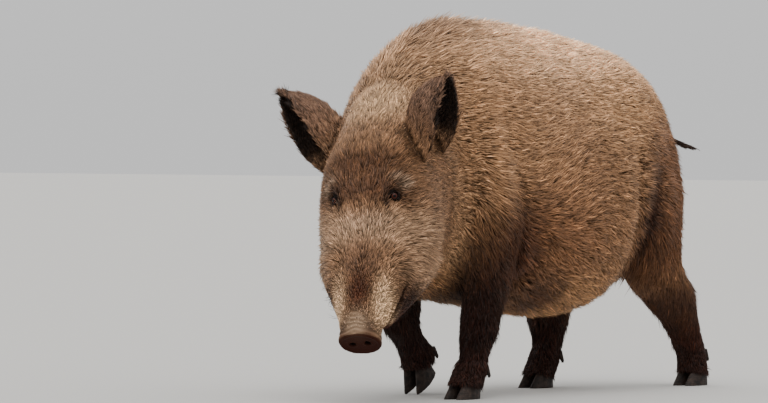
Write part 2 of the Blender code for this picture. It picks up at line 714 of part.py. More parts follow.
def largest_body(bm):
    """Deletes every closed body of the mesh but the one with the most points."""
    groups = []
    unseen = set(bm.verts)
    while unseen:
        stack = [unseen.pop()]
        group = set(stack)
        while stack:
            for edge in stack.pop().link_edges:
                for vert in edge.verts:
                    if vert in unseen:
                        unseen.remove(vert)
                        group.add(vert)
                        stack.append(vert)
        groups.append(group)
    largest = max(groups, key=len)
    bmesh.ops.delete(bm, geom=[v for v in bm.verts if v not in largest], context="VERTS")


def clean(obj, flat=2.8):
    """Welds what the Booleans left apart, drops slivers and small loose bodies, and merges faces
    that are flat to that many degrees, or to fewer where the surface would not stay closed."""
    for angle in (flat, flat * 0.3, flat * 0.05, 0.0):
        bm = bmesh.new()
        bm.from_mesh(obj.data)
        bmesh.ops.remove_doubles(bm, verts=bm.verts, dist=0.00001)
        bmesh.ops.dissolve_degenerate(bm, dist=0.00001, edges=bm.edges)
        if angle > 0:
            bmesh.ops.dissolve_limit(bm, angle_limit=math.radians(angle), verts=bm.verts, edges=bm.edges)
        bmesh.ops.triangulate(bm, faces=bm.faces)
        largest_body(bm)
        if all(len(edge.link_faces) == 2 for edge in bm.edges):
            break
    bmesh.ops.recalc_face_normals(bm, faces=bm.faces)
    bm.to_mesh(obj.data)
    bm.free()


# ---------------------------------------------------------------- run
clear_scene()
COATS = {
    "coat_body": material("coat_body", COAT_COLOUR, 0.9),
    "coat_dark": material("coat_dark", DARK_COAT_COLOUR, 0.9),
    "snout_skin": material("snout_skin", SNOUT_COLOUR, 0.5),
    "hoof_horn": material("hoof_horn", HORN_COLOUR, 0.6),
    "eye": material("eye", EYE_COLOUR, 0.1),
}

trunk = make_body()
for leg_name in LEG_STATIONS:
    leg = make_leg(leg_name)
    boolean(trunk, leg, "UNION")
    discard(leg)

pieces = {"trunk": (trunk, "coat_body")}
head = part_off(trunk, extruded(HEAD_REGION, "head_cut", 1.0), "head")
pieces["head"] = (head, "coat_body")
pieces["neck"] = (part_off(trunk, extruded(NECK_REGION, "neck_cut", 0.0), "neck"), "coat_body")
jaw = part_off(head, extruded([head_to_body(*point) for point in JAW_REGION], "jaw_cut", 1.0), "jaw")
discard(part_off(head, extruded([head_to_body(*point) for point in JAW_TIP_REGION], "tip_cut", 1.0), "tip"))
pieces["jaw"] = (jaw, "coat_body")

for leg_name, (foot_start, lower_start, upper_start) in LEG_PARTS.items():
    last = len(LEG_STATIONS[leg_name]) - 1
    foot = part_off(trunk, sleeve(leg_name, foot_start, last, LOWER_MARGIN), "foot_" + leg_name)
    lower = part_off(trunk, sleeve(leg_name, lower_start, foot_start, LOWER_MARGIN), "lower_leg_" + leg_name)
    upper_cut = sleeve(leg_name, upper_start, lower_start + 0.3, UPPER_MARGIN, upper=True)
    upper = part_off(trunk, upper_cut, "upper_leg_" + leg_name)
    pieces[foot.name] = (foot, "coat_dark")
    pieces[lower.name] = (lower, "coat_dark")
    pieces[upper.name] = (upper, "coat_body")
    side = SIDES[leg_name.split("_")[1]]
    clean(foot)
    for kind, make in (("dewclaw", make_dewclaw), ("hoof", make_claw)):
        for end_name, which in (("outer", side), ("inner", -side)):
            horn = new_object(f"{kind}_{leg_name}_{end_name}", make(leg_name, which))
            seat(horn, foot)
            pieces[horn.name] = (horn, "hoof_horn")

for obj, _ in pieces.values():
    if not obj.name.startswith(("hoof", "dewclaw", "foot")):
        clean(obj)

snout = make_snout()
pieces["snout"] = (snout, "snout_skin")
tail = make_tail()
seat(tail, trunk)
pieces["tail"] = (tail, "coat_dark")
for side_name in SIDES:
    ear = make_ear(side_name)
    for host_name in ("head", "neck", "trunk"):
        trim_against(ear, pieces[host_name][0])
    pieces[ear.name] = (ear, "coat_dark")
for side_name in SIDES:
    eye = make_eye(side_name, head)
    seat(eye, head)
    pieces[eye.name] = (eye, "eye")

boar = bpy.data.objects.new("boar", None)
bpy.context.scene.collection.objects.link(boar)
corners = []
for obj, material_name in pieces.values():
    clean(obj, 0.05)
    obj.data.materials.clear()
    obj.data.materials.append(COATS[material_name])
    obj.parent = boar
    places = np.array([v.co for v in obj.data.vertices])
    corners += [places.min(axis=0), places.max(axis=0)]
boar.location = -(np.min(corners, axis=0) + np.max(corners, axis=0)) / 2 * (1, 1, 0)
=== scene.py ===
"""A wild boar, life size, walking with its head low and turned to its left, as a still model."""

import math

import bmesh
import bpy
import numpy as np
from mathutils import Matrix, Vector
from mathutils.bvhtree import BVHTree


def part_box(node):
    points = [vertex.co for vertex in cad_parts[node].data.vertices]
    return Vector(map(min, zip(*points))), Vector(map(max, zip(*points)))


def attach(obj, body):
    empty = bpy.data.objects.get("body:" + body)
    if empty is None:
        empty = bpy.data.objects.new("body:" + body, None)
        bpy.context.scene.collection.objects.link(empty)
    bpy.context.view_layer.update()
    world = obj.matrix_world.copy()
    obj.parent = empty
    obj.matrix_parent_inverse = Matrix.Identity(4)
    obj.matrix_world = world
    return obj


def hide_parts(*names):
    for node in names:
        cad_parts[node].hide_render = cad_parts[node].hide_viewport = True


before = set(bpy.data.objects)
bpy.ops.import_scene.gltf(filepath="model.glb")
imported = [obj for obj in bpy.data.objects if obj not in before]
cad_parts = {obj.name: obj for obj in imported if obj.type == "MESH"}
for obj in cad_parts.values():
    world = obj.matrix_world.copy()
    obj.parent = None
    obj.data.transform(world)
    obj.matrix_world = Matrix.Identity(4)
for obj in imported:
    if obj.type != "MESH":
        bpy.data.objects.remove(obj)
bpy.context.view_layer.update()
MIDDLE = sum(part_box("trunk"), Vector()).x / 2  # the plane between the boar's left and right

# ---------------------------------------------------------------- studio
# A pale painted floor under a broad soft light from above, brightest overhead, and a
# long lens at the height of the boar's back, a little to the left of its nose.
CAMERA_AIM = Vector((MIDDLE - 0.2335, -0.114, 0.435))
CAMERA_DISTANCE = 14.0
CAMERA_AZIMUTH = math.radians(40.0)
CAMERA_DROP = math.radians(0.948)
CAMERA_LENS = 287.6
FLOOR_SIZE = 60.0
FLOOR_COLOUR = "#acaaa6"
HORIZON_LIGHT, ZENITH_LIGHT = 0.75, 2.1
KEY_SOURCE, KEY_SPREAD, KEY_STRENGTH = (0.7, -0.9, 2.4), 45.0, 1.5


def linear(colour):
    """An sRGB hex colour as three linear values: each channel through the sRGB curve."""
    value = np.array([int(colour[i : i + 2], 16) for i in (1, 3, 5)]) / 255
    return np.where(value <= 0.04045, value / 12.92, ((value + 0.055) / 1.055) ** 2.4)


def new_material(name):
    """An empty node material, and its tree."""
    mat = bpy.data.materials.new(name)
    mat.use_nodes = True
    mat.node_tree.nodes.clear()
    return mat, mat.node_tree


def node(tree, kind, settings=None, **sockets):
    """Adds one node. settings are its own properties. Each socket is named with _ for a space,
    and with __1 after the name for the second one of that name. It takes a value, or an output
    of another node as a link."""
    made = tree.nodes.new("ShaderNode" + kind)
    for key, value in (settings or {}).items():
        setattr(made, key, value)
    for key, value in sockets.items():
        names = key.split("__")
        found = [s for s in made.inputs if s.name.replace(" ", "_") == names[0] and s.enabled]
        socket = found[int(names[1]) if len(names) > 1 else 0]
        if isinstance(value, bpy.types.NodeSocket):
            tree.links.new(value, socket)
        else:
            socket.default_value = value
    return made


def rgba(colour):
    return (*linear(colour), 1.0)


def new_object(name, data):
    """An object with this data, linked into the scene."""
    made = bpy.data.objects.new(name, data)
    bpy.context.scene.collection.objects.link(made)
    return made


def mesh_object(name, points, faces):
    """A mesh object from an array of points and an array of faces, smooth shaded."""
    mesh = bpy.data.meshes.new(name)
    mesh.from_pydata(points.tolist(), [], faces.tolist())
    mesh.shade_smooth()
    return new_object(name, mesh)


camera = new_object("camera", bpy.data.cameras.new("camera"))
look = Vector(
    (
        -math.sin(CAMERA_AZIMUTH) * math.cos(CAMERA_DROP),
        math.cos(CAMERA_AZIMUTH) * math.cos(CAMERA_DROP),
        -math.sin(CAMERA_DROP),
    )
)
camera.location = CAMERA_AIM - look * CAMERA_DISTANCE
camera.rotation_euler = look.to_track_quat("-Z", "Y").to_euler()
camera.data.sensor_width = 36.0
camera.data.lens = CAMERA_LENS
camera.data.clip_end = 200.0
bpy.context.scene.camera = camera

corners = np.array([[-1, -1, 0], [1, -1, 0], [1, 1, 0], [-1, 1, 0]]) * FLOOR_SIZE / 2
floor = mesh_object("floor", corners, np.array([[0, 1, 2, 3]]))

# Matt floor paint: it takes soft shadows and gives back no highlight.
floor_paint, tree = new_material("matt floor paint")
shader = node(tree, "BsdfPrincipled", Base_Color=rgba(FLOOR_COLOUR), Roughness=0.9)
node(tree, "OutputMaterial", Surface=shader.outputs[0])
floor.data.materials.append(floor_paint)

lamp = bpy.data.lights.new("key_light", "SUN")
lamp.angle, lamp.energy = math.radians(KEY_SPREAD), KEY_STRENGTH
key_light = new_object("key_light", lamp)
key_light.rotation_euler = Vector(KEY_SOURCE).to_track_quat("Z", "Y").to_euler()
world = bpy.data.worlds.new("soft_studio")
bpy.context.scene.world = world
world.use_nodes = True
tree = world.node_tree
tree.nodes.clear()
place = node(tree, "TexCoord")
height = node(tree, "SeparateXYZ", Vector=place.outputs["Generated"])
overhead = node(
    tree, "MapRange", Value=height.outputs["Z"], To_Min=HORIZON_LIGHT, To_Max=ZENITH_LIGHT
)
sky = node(tree, "Background", Color=rgba("#ffffff"), Strength=overhead.outputs[0])
node(tree, "OutputWorld", Surface=sky.outputs[0])

# ---------------------------------------------------------------- skin
# The whole hide in one seamless piece, from the snout to the coronets of the hooves. It is made
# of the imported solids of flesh, run together, smoothed, and drawn in by the depth of the coat.
FLESH = [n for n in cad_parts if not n.startswith(("eye", "hoof", "dewclaw"))]
SKIN_GRAIN = 0.0036  # edge length of the surface after it is run together
WELD_SWELL = 0.0004  # each solid is swollen by this, past the cuts between them
BODY_SHARE = 0.28  # share of the body's faces kept, as the coat hides it
ZONES = ["head", "jaw", "neck", "trunk", "upper_leg", "lower_leg", "foot", "snout", "ear", "tail"]
SMALL_ZONES = ["foot", "snout", "ear", "tail"]  # their limits stay sharp
FACE = ("head", "jaw", "snout")
SMOOTHING = {  # how freely each zone is smoothed: joints of the body melt, and ears stay thin
    "head": 0.30, "jaw": 0.30, "snout": 0.05, "neck": 0.9, "trunk": 1.0,
    "upper_leg": 0.8, "lower_leg": 0.4, "foot": 0.15, "ear": 0.06, "tail": 0.10,
}
SMOOTHING_ROUNDS, SMOOTHING_STEP = 45, 0.6


def zone_of(name):
    """Number of the zone of the hide that a CAD node belongs to."""
    return next(i for i, zone in enumerate(ZONES) if name.startswith(zone))


def joined_copy(name, sources, swell):
    """One object of copies of these CAD nodes, each welded and pushed out by swell."""
    bm = bmesh.new()
    for source in sources:
        piece = bmesh.new()
        piece.from_mesh(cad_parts[source].data)
        bmesh.ops.remove_doubles(piece, verts=piece.verts, dist=1e-5)
        piece.normal_update()
        moves = [v.normal * swell for v in piece.verts]
        for vert, move in zip(piece.verts, moves):
            vert.co += move
        mesh = bpy.data.meshes.new("part")
        piece.to_mesh(mesh)
        piece.free()
        bm.from_mesh(mesh)
        bpy.data.meshes.remove(mesh)
    mesh = bpy.data.meshes.new(name)
    bm.to_mesh(mesh)
    bm.free()
    return new_object(name, mesh)


def apply_modifier(obj, kind, **settings):
    modifier = obj.modifiers.new(kind.lower(), kind)
    for key, value in settings.items():
        setattr(modifier, key, value)
    with bpy.context.temp_override(object=obj, active_object=obj, selected_objects=[obj]):
        bpy.ops.object.modifier_apply(modifier=modifier.name)


def run_together(obj, grain):
    """Voxel remesh: one even closed surface round all the solids of the object."""
    apply_modifier(
        obj, "REMESH", mode="VOXEL", voxel_size=grain, adaptivity=0.0, use_smooth_shade=True
    )


def read(items, field, width, kind=float):
    """One property of all vertices, edges or faces of a mesh, as rows of width numbers."""
    flat = np.empty(len(items) * width, kind)
    items.foreach_get(field, flat)
    return flat.reshape(-1, width)


def points_of(obj):
    return read(obj.data.vertices, "co", 3)


def normals_of(obj):
    return read(obj.data.vertices, "normal", 3)


def edges_of(obj):
    return read(obj.data.edges, "vertices", 2, int)


def faces_of(obj):
    """Corner numbers of every face of a mesh of triangles."""
    return read(obj.data.polygons, "vertices", 3, int)


def set_points(obj, points):
    obj.data.vertices.foreach_set("co", points.ravel())
    obj.data.update()


def neighbour_mean(values, edges):
    """Mean of each vertex's neighbours: the sum over its edges over their count."""
    (a, b), n = edges.T, len(values)
    sums = [np.bincount(a, column[b], n) + np.bincount(b, column[a], n) for column in values.T]
    edge_count = np.bincount(a, minlength=n) + np.bincount(b, minlength=n)
    return np.column_stack(sums) / np.maximum(edge_count, 1)[:, None]


def smoothed(points, edges, rounds, step):
    """Each point moved by step towards the mean of its neighbours, in so many rounds."""
    for _ in range(rounds):
        points = points + step * (neighbour_mean(points, edges) - points)
    return points


def nearest_zone(points, names):
    """For each point, the zone of the CAD node that is nearest to it."""
    corners, faces, zones, start = [], [], [], 0
    for name in names:
        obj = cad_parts[name]
        corners.append(points_of(obj))
        faces.append(faces_of(obj) + start)
        zones += [zone_of(name)] * len(faces[-1])
        start += len(corners[-1])
    tree = BVHTree.FromPolygons(np.vstack(corners).tolist(), np.vstack(faces).tolist())
    found = [tree.find_nearest(point)[2] for point in points.tolist()]
    return np.array(zones)[found]


def zone_shares(obj, rounds, more_rounds=0):
    """A soft share of every zone at each vertex: 1 at the nearest CAD node's zone, then spread
    over the neighbours in so many rounds, and the large zones in some more."""
    points = points_of(obj)
    shares = np.eye(len(ZONES))[nearest_zone(points, FLESH)]
    edges = edges_of(obj)
    for _ in range(rounds):
        shares = 0.5 * shares + 0.5 * neighbour_mean(shares, edges)
    small = np.array([zone in SMALL_ZONES for zone in ZONES])
    large = shares.copy()
    for _ in range(more_rounds):
        large = 0.4 * large + 0.6 * neighbour_mean(large, edges)
    room = 1 - shares[:, small].sum(axis=1)
    large *= (room / np.maximum(large[:, ~small].sum(axis=1), 1e-6))[:, None]
    shares = np.where(small, shares, large)
    return dict(zip(ZONES, shares.T))


def share_of(shares, *zones):
    """The share that these zones have together at each vertex."""
    return sum(shares[zone] for zone in zones)


def ramp(value, low, high):
    """0 below low, 1 above high and a smooth step between."""
    share = np.clip((value - low) / (high - low), 0, 1)
    return share * share * (3 - 2 * share)


def unit(vectors):
    return vectors / np.maximum(np.linalg.norm(vectors, axis=-1, keepdims=True), 1e-9)


def from_middle(points):
    """The points with their first value counted from the plane between left and right."""
    return points - np.array([MIDDLE, 0.0, 0.0])


def mirrored(points):
    return np.column_stack([np.abs(points[:, 0]), points[:, 1:]])


def bell(points, centre, reach, flatness=1.0):
    """1 at the centre, falling off as a Gaussian with this reach along each axis. More flatness
    gives it a flatter top and steeper sides."""
    away = (points - np.array(centre)) / np.array(reach)
    return np.exp(-np.sum(away * away, axis=1) ** flatness)


def hump(value, width, centre=0.0):
    """1 where the value is at the centre, falling off on both sides as a Gaussian."""
    return np.exp(-(((value - centre) / width) ** 2))


def laid_over(under, over, share):
    """What is over, laid on what is under by its share at each point."""
    return under * (1 - share[:, None]) + over * share[:, None]


def waves(points, length, seed):
    """A smooth wandering value, mostly from -1 to 1: the sum of eight sine waves of about that
    length, each in its own direction, brought to that range."""
    rng = np.random.default_rng(seed)
    directions = unit(rng.normal(size=(8, 3))) * (2 * np.pi / length)
    directions = directions * rng.uniform(0.7, 1.4, (8, 1))
    return np.sin(points @ directions.T + rng.uniform(0, 6.28, 8)).sum(axis=1) / 2.8


skin = joined_copy("skin", FLESH, WELD_SWELL)
run_together(skin, SKIN_GRAIN)
shares = zone_shares(skin, 6)
weight = sum(SMOOTHING[zone] * share for zone, share in shares.items())
step = SMOOTHING_STEP * weight[:, None]
set_points(skin, smoothed(points_of(skin), edges_of(skin), SMOOTHING_ROUNDS, step))
coated = 1 - np.clip(share_of(shares, "head", "jaw", "ear", "snout"), 0, 1)
group = skin.vertex_groups.new(name="coated")
for level in range(1, 11):  # in tenths, as a group takes one weight at a time
    chosen = np.nonzero(np.round(coated * 10) == level)[0]
    group.add(chosen.tolist(), level / 10, "REPLACE")
apply_modifier(skin, "TRIANGULATE")
apply_modifier(skin, "DECIMATE", ratio=BODY_SHARE, vertex_group="coated", vertex_group_factor=1.0)
skin.vertex_groups.clear()

# The head's own directions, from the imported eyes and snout: side is the boar's left, down runs
# from the eyes to the snout, and out is away from the face.
centre_of = {name: np.array(sum(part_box(name), Vector())) / 2 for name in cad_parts}
between_eyes = (centre_of["eye_left"] + centre_of["eye_right"]) / 2
side = unit(centre_of["eye_left"] - centre_of["eye_right"])
down = centre_of["snout"] - between_eyes
down = unit(down - side * (down @ side))
out = np.cross(down, side)
HEAD_AXES = np.array([side, down, out])
EYE_RADIUS = 0.012
EYE_WORK = 0.032  # how far round each eye the hide is refined, for the lids
LID_WORK = 0.65 * EYE_WORK  # and how far it is refined once more
MUZZLE_WORK = 0.250  # from this far below the eyes it is refined, for lips, folds and nostrils


def in_head(points):
    """Distances to the side, down and out from the point between the eyes."""
    return (points - between_eyes) @ HEAD_AXES.T


def refine(obj, chosen):
    """Cuts every triangle whose corners are all chosen into four."""
    bm = bmesh.new()
    bm.from_mesh(obj.data)
    bm.verts.ensure_lookup_table()
    edges = [e for e in bm.edges if chosen[e.verts[0].index] and chosen[e.verts[1].index]]
    bmesh.ops.subdivide_edges(bm, edges=edges, cuts=1, use_grid_fill=True)
    bmesh.ops.triangulate(bm, faces=[f for f in bm.faces if len(f.verts) > 3])
    bm.to_mesh(obj.data)
    bm.free()
    obj.data.shade_smooth()


def eye_distance(points):
    gaps = [np.linalg.norm(points - centre_of[name], axis=1) for name in ("eye_left", "eye_right")]
    return np.min(gaps, axis=0)


points = points_of(skin)
refine(skin, (eye_distance(points) < EYE_WORK) | (in_head(points)[:, 1] > MUZZLE_WORK))
refine(skin, eye_distance(points_of(skin)) < LID_WORK)

# Depth of the coat over the hide, and the length, width and spacing of its tufts, in
# millimetres. It is deepest along the neck and back, and least on the face and feet.
COAT = {
    "head": (3.8, 22.0, 2.2, 2.6),
    "jaw": (4.0, 19.0, 2.1, 2.7),
    "snout": (0.2, 3.0, 0.9, 30.0),
    "neck": (11.0, 34.0, 2.6, 3.25),
    "trunk": (11.0, 32.0, 2.5, 3.4),
    "upper_leg": (9.0, 42.0, 2.9, 3.5),
    "lower_leg": (5.2, 30.0, 2.4, 2.9),
    "foot": (2.4, 14.0, 1.9, 2.7),
    "ear": (2.2, 19.0, 1.8, 2.3),
    "tail": (1.0, 11.0, 1.2, 2.4),
}
# The same for the soft patches: the mane, the jowls, the belly, the muzzle, the knee, the lids.
MANE = np.array([19.0, 66.0, 3.2, 3.7])
JOWL = np.array([9.0, 44.0, 2.8, 2.95])
BELLY = np.array([12.0, 46.0, 2.9, 3.6])
MUZZLE = np.array([1.6, 7.5, 1.6, 2.4])
STIFLE = np.array([11.0, 64.0, 3.0, 3.3])
EYELID = np.array([0.7, 6.0, 1.2, 2.0])


def stifle(points):
    """The fringe of long hair where the flank's fold runs into the knee."""
    return bell(mirrored(from_middle(points)), (0.14, 0.34, 0.29), (0.12, 0.055, 0.06), 1.5)


def coat_sizes(points, shares):
    """Depth, length, width and spacing at each point, as blends of the table by zone, with the
    mane, the belly, the fringe at the knee, the jowls, the muzzle and the eyelids laid over it
    as soft patches."""
    sizes = sum(np.outer(share, COAT[zone]) for zone, share in shares.items())
    head = in_head(points)
    headed, body = share_of(shares, *FACE), share_of(shares, "neck", "trunk")
    crest = bell(from_middle(points)[:, :2], (0.0, -0.16), (0.10, 0.34))
    cheek = ramp(np.abs(head[:, 0]), 0.07, 0.13) * ramp(head[:, 1], -0.02, 0.08)
    patches = [
        (MANE, ramp(points[:, 2], 0.60, 0.80) * crest * body),
        (BELLY, ramp(-points[:, 2], -0.30, -0.22) * body),
        (STIFLE, stifle(points) * (1 - headed)),
        (JOWL, cheek * headed),
        (MUZZLE, ramp(head[:, 1], 0.13, 0.20) * headed),
        (EYELID, hump(eye_distance(points), 0.024)),
    ]
    for patch, share in patches:
        sizes = laid_over(sizes, patch, share)
    return sizes * 0.001


points = points_of(skin)
skin_edges = edges_of(skin)
shares = zone_shares(skin, 6, 60)
sizes = coat_sizes(points, shares)
points = points - normals_of(skin) * sizes[:, :1]

# Folds of the hide: the flank overhangs the thigh and the elbow, and a small wart stands behind
# the elbow.
FOLDS = [  # height, centre (distance from the middle, back, up), reach
    (-0.014, (0.19, 0.268, 0.45), (0.10, 0.016, 0.16)),
    (0.006, (0.19, 0.228, 0.43), (0.10, 0.028, 0.16)),
    (-0.009, (0.18, -0.080, 0.28), (0.09, 0.013, 0.09)),
    (0.005, (0.18, -0.050, 0.27), (0.09, 0.022, 0.09)),
    (0.022, (0.18, -0.108, 0.320), (0.06, 0.014, 0.032)),
]
place = mirrored(from_middle(points))
fold_height = sum(height * bell(place, centre, reach) for height, centre, reach in FOLDS)
points = points + normals_of(skin) * fold_height[:, None]
set_points(skin, points)

# Eyelids: the rim of each socket is drawn into an almond and laid on the eyeball, with a fold
# above it, a bag below and the tear groove running down from the inner corner.
LID_HALF_LENGTH, LID_HALF_HEIGHT = 0.0108, 0.0052
LID_THICKNESS = 0.0010
SOCKET_RIM = 0.0085
EYE_CLEARANCE = 0.0003  # between the hide and the eyeball
LIDDED = 0.030  # how far round the middle of the eye the hide is shaped
LID_RELIEF = [  # height, distance from the middle, half width, above or below, from, to
    (-0.0016, 0.0150, 0.0020, 1, 0.000, 0.008),  # the fold over the upper lid
    (0.0046, 0.0215, 0.0050, 1, 0.002, 0.012),  # the brow
    (-0.0010, 0.0140, 0.0016, -1, 0.000, 0.008),  # the bag under the eye
]
gaze_of, corner_of = {}, {}
for eye, sign in (("eye_left", 1.0), ("eye_right", -1.0)):
    near = np.linalg.norm(points - centre_of[eye], axis=1) < LIDDED
    gaze = unit(normals_of(skin)[near].mean(axis=0))  # it looks straight out of the socket
    corner = 0.80 * down - 0.60 * sign * side
    corner = unit(corner - gaze * (corner @ gaze))
    above = np.cross(corner, gaze) * sign
    gaze_of[eye], corner_of[eye] = gaze, corner
    away = points - centre_of[eye]
    u, v, height = away @ corner, away @ above, away @ gaze
    reach = np.hypot(u, v)
    turn = np.arctan2(v, u)
    lengthwise, upright = np.cos(turn) / LID_HALF_LENGTH, np.sin(turn) / LID_HALF_HEIGHT
    almond = 1 / np.sqrt(lengthwise**2 + upright**2)
    lidded = (height > 0.004) & (reach < LIDDED)
    fade = hump(np.maximum(reach - SOCKET_RIM, 0), 0.007) * lidded
    moved = np.maximum(reach + (almond - SOCKET_RIM) * fade, 0.001)
    scale = moved / np.maximum(reach, 1e-6)
    ball = EYE_RADIUS + LID_THICKNESS
    on_ball = np.sqrt(np.maximum(ball**2 - moved**2, (0.35 * ball) ** 2))
    close = 1 - ramp(moved, 0.0095, 0.0165)
    lifted = height * (1 - close * lidded) + on_ball * close * lidded
    relief = sum(
        rise * hump(moved, width, middle) * ramp(where * v, start, full)
        for rise, middle, width, where, start, full in LID_RELIEF
    )
    tear = 0.0018 * hump(v, 0.0022) * ramp(u, 0.008, 0.013) * (1 - ramp(u, 0.020, 0.030))
    lifted = lifted + (relief - tear) * lidded
    shaped = centre_of[eye] + np.outer(u * scale, corner)
    shaped = shaped + np.outer(v * scale, above) + np.outer(lifted, gaze)
    points = np.where(lidded[:, None], shaped, points)
    away = points - centre_of[eye]
    gap = np.linalg.norm(away, axis=1)
    inside = gap < EYE_RADIUS + EYE_CLEARANCE
    ball_side = away[inside] / gap[inside, None] * (EYE_RADIUS + EYE_CLEARANCE)
    points[inside] = centre_of[eye] + ball_side
set_points(skin, points)

# Muzzle: the line of the mouth between lips and jaw, folds across the top behind the disc, the
# raised rim of the disc, and the nostrils running into it.
MOUTH_DEPTH, LIP_RISE = 0.0042, 0.0012
FOLD_SPACING, FOLD_HEIGHT = 0.0105, 0.0013
DISC_HALF_WIDTH, DISC_HALF_HEIGHT, DISC_RIM = 0.0475, 0.0335, 0.0016
NOSTRIL_SIDE, NOSTRIL_HALF_WIDTH, NOSTRIL_HALF_HEIGHT = 0.018, 0.0085, 0.0062
NOSTRIL_DEPTH, NOSTRIL_RIM = 0.011, 0.0010
snout_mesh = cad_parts["snout"].data
snout_faces = [(np.array(p.normal), np.array(p.center), p.area) for p in snout_mesh.polygons]
front_faces = [face for face in snout_faces if face[0] @ down > 0.85]
front_area = sum(area for _, _, area in front_faces)
disc_normal = unit(sum(normal * area for normal, _, area in front_faces))
disc_centre = sum(middle * area for _, middle, area in front_faces) / front_area
disc_up = unit(np.cross(side, disc_normal))


def mouth_gap(points):
    """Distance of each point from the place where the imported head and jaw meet: the greater of
    its distances to the two solids."""
    solids = [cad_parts[name] for name in ("head", "jaw")]
    trees = [BVHTree.FromPolygons(points_of(s).tolist(), faces_of(s).tolist()) for s in solids]
    return np.array([max(tree.find_nearest(p)[3] for tree in trees) for p in points.tolist()])


head = in_head(points)
normals = normals_of(skin)
push = np.zeros(len(points))
headed = share_of(shares, *FACE)
muzzle = np.nonzero((head[:, 1] > 0.12) & (headed > 0.3))[0]
gap = mouth_gap(points[muzzle])
mouth = ramp(head[muzzle, 1], 0.175, 0.205)
push[muzzle] -= MOUTH_DEPTH * hump(gap, 0.0034) * mouth
push[muzzle] += LIP_RISE * hump(gap, 0.0035, 0.0085) * mouth
wrinkled = ramp(head[:, 1], 0.246, 0.268) * (1 - ramp(head[:, 1], 0.310, 0.318))
wrinkle_reach = 0.018 + 0.014 * ramp(head[:, 1], 0.25, 0.30)
wrinkled *= np.exp(-((head[:, 0] / wrinkle_reach) ** 4)) * ramp(head[:, 2], -0.010, 0.006)
bowed = head[:, 1] - 3.0 * head[:, 0] ** 2 + 0.0026 * waves(head, 0.035, 8)
bands = FOLD_HEIGHT * np.sin(bowed * 2 * np.pi / FOLD_SPACING)
push += bands * wrinkled * (1 + 0.5 * waves(head, 0.02, 9))
on_disc = points - disc_centre
disc_u, disc_v, disc_out = on_disc @ side, on_disc @ disc_up, on_disc @ disc_normal
edge = np.hypot(disc_u / DISC_HALF_WIDTH, disc_v / DISC_HALF_HEIGHT)
push += DISC_RIM * hump(edge, 0.07, 0.93) * hump(disc_out, 0.010) * (np.abs(disc_out) < 0.012)
points = points + normals * push[:, None]
hole_u = (np.abs(disc_u) - NOSTRIL_SIDE) / NOSTRIL_HALF_WIDTH
hole = np.hypot(hole_u, disc_v / NOSTRIL_HALF_HEIGHT)
on_front = (disc_out > -0.006) * (edge < 1)
deep = NOSTRIL_DEPTH * (1 - ramp(hole, 0.45, 1.0)) * on_front
rim = NOSTRIL_RIM * hump(hole, 0.20, 1.15) * on_front
points = points - np.outer(deep - rim, disc_normal)
set_points(skin, points)

# Colours of the hide and of the hair on it, from one set of marks with painted light and shade
# laid in among them: a base for each zone and soft patches over it, in body or in head
# coordinates. They are the middle of a tuft, which is darker at its root and paler at its tip.
ZONE_COLOURS = {
    "head": "#7a5a40",
    "jaw": "#3a1307",
    "snout": "#4a2f20",
    "neck": "#8a6a4c",
    "trunk": "#9b7554",
    "upper_leg": "#9b7554",
    "lower_leg": "#35180d",
    "foot": "#2e1810",
    "ear": "#76573e",
    "tail": "#332016",
}
BODY_PATCHES = [  # colour, strength, centre (distance from the middle, back, up), reach
    # Painted light: the back is made paler and warmer than the sides, as if lit from above.
    ("#f6caa0", 0.92, (0.0, 0.15, 0.82), (0.20, 0.42, 0.17)),  # back
    ("#7f614a", 0.80, (0.0, -0.26, 0.84), (0.09, 0.22, 0.08)),  # mane
    ("#bd926a", 0.55, (0.15, 0.24, 0.66), (0.12, 0.15, 0.09)),  # upper flank
    ("#7a5639", 0.65, (0.18, 0.04, 0.47), (0.10, 0.19, 0.11)),  # flank
    # Darker towards the bottom of the flank: partly darker hair, partly painted shade.
    ("#7a5236", 0.75, (0.18, -0.06, 0.34), (0.12, 0.24, 0.11)),  # lower flank
    ("#a87c52", 0.75, (0.12, 0.13, 0.21), (0.16, 0.11, 0.07)),  # belly
    # Painted shade on the underside of the belly behind the elbow.
    ("#4b2f1e", 0.90, (0.12, -0.01, 0.225), (0.12, 0.065, 0.06)),  # behind the elbow
    ("#4a2c1b", 0.92, (0.18, -0.175, 0.365), (0.12, 0.10, 0.100)),  # upper foreleg
    ("#48281a", 0.90, (0.18, -0.12, 0.27), (0.11, 0.07, 0.09)),  # elbow
    ("#735039", 0.70, (0.19, -0.105, 0.315), (0.06, 0.011, 0.026)),  # wart
    ("#240d06", 0.95, (0.17, -0.24, 0.25), (0.13, 0.075, 0.11)),  # forearm
    # Painted shade under the chest between the forelegs, over the dark hair of the legs.
    ("#200c06", 0.90, (0.12, -0.20, 0.17), (0.14, 0.14, 0.10)),  # between the forelegs
    ("#b08a67", 0.92, (0.12, -0.345, 0.36), (0.10, 0.060, 0.13)),  # side of the neck
    ("#a17652", 0.88, (0.07, -0.36, 0.26), (0.09, 0.080, 0.05)),  # throat
    ("#6f4c34", 0.85, (0.17, 0.42, 0.54), (0.12, 0.11, 0.10)),  # upper thigh
    ("#623f29", 0.92, (0.17, 0.40, 0.37), (0.14, 0.14, 0.13)),  # thigh
    # Painted shade in the crease where the flank overhangs the thigh.
    ("#2c1206", 0.92, (0.17, 0.325, 0.42), (0.10, 0.040, 0.135)),  # crease of the flank
    ("#875c3c", 0.70, (0.13, 0.52, 0.46), (0.10, 0.060, 0.14)),  # buttock
    ("#462d1e", 0.80, (0.12, 0.52, 0.21), (0.10, 0.10, 0.07)),  # shank
    ("#220d06", 0.90, (0.11, 0.29, 0.16), (0.10, 0.09, 0.10)),  # knee
]
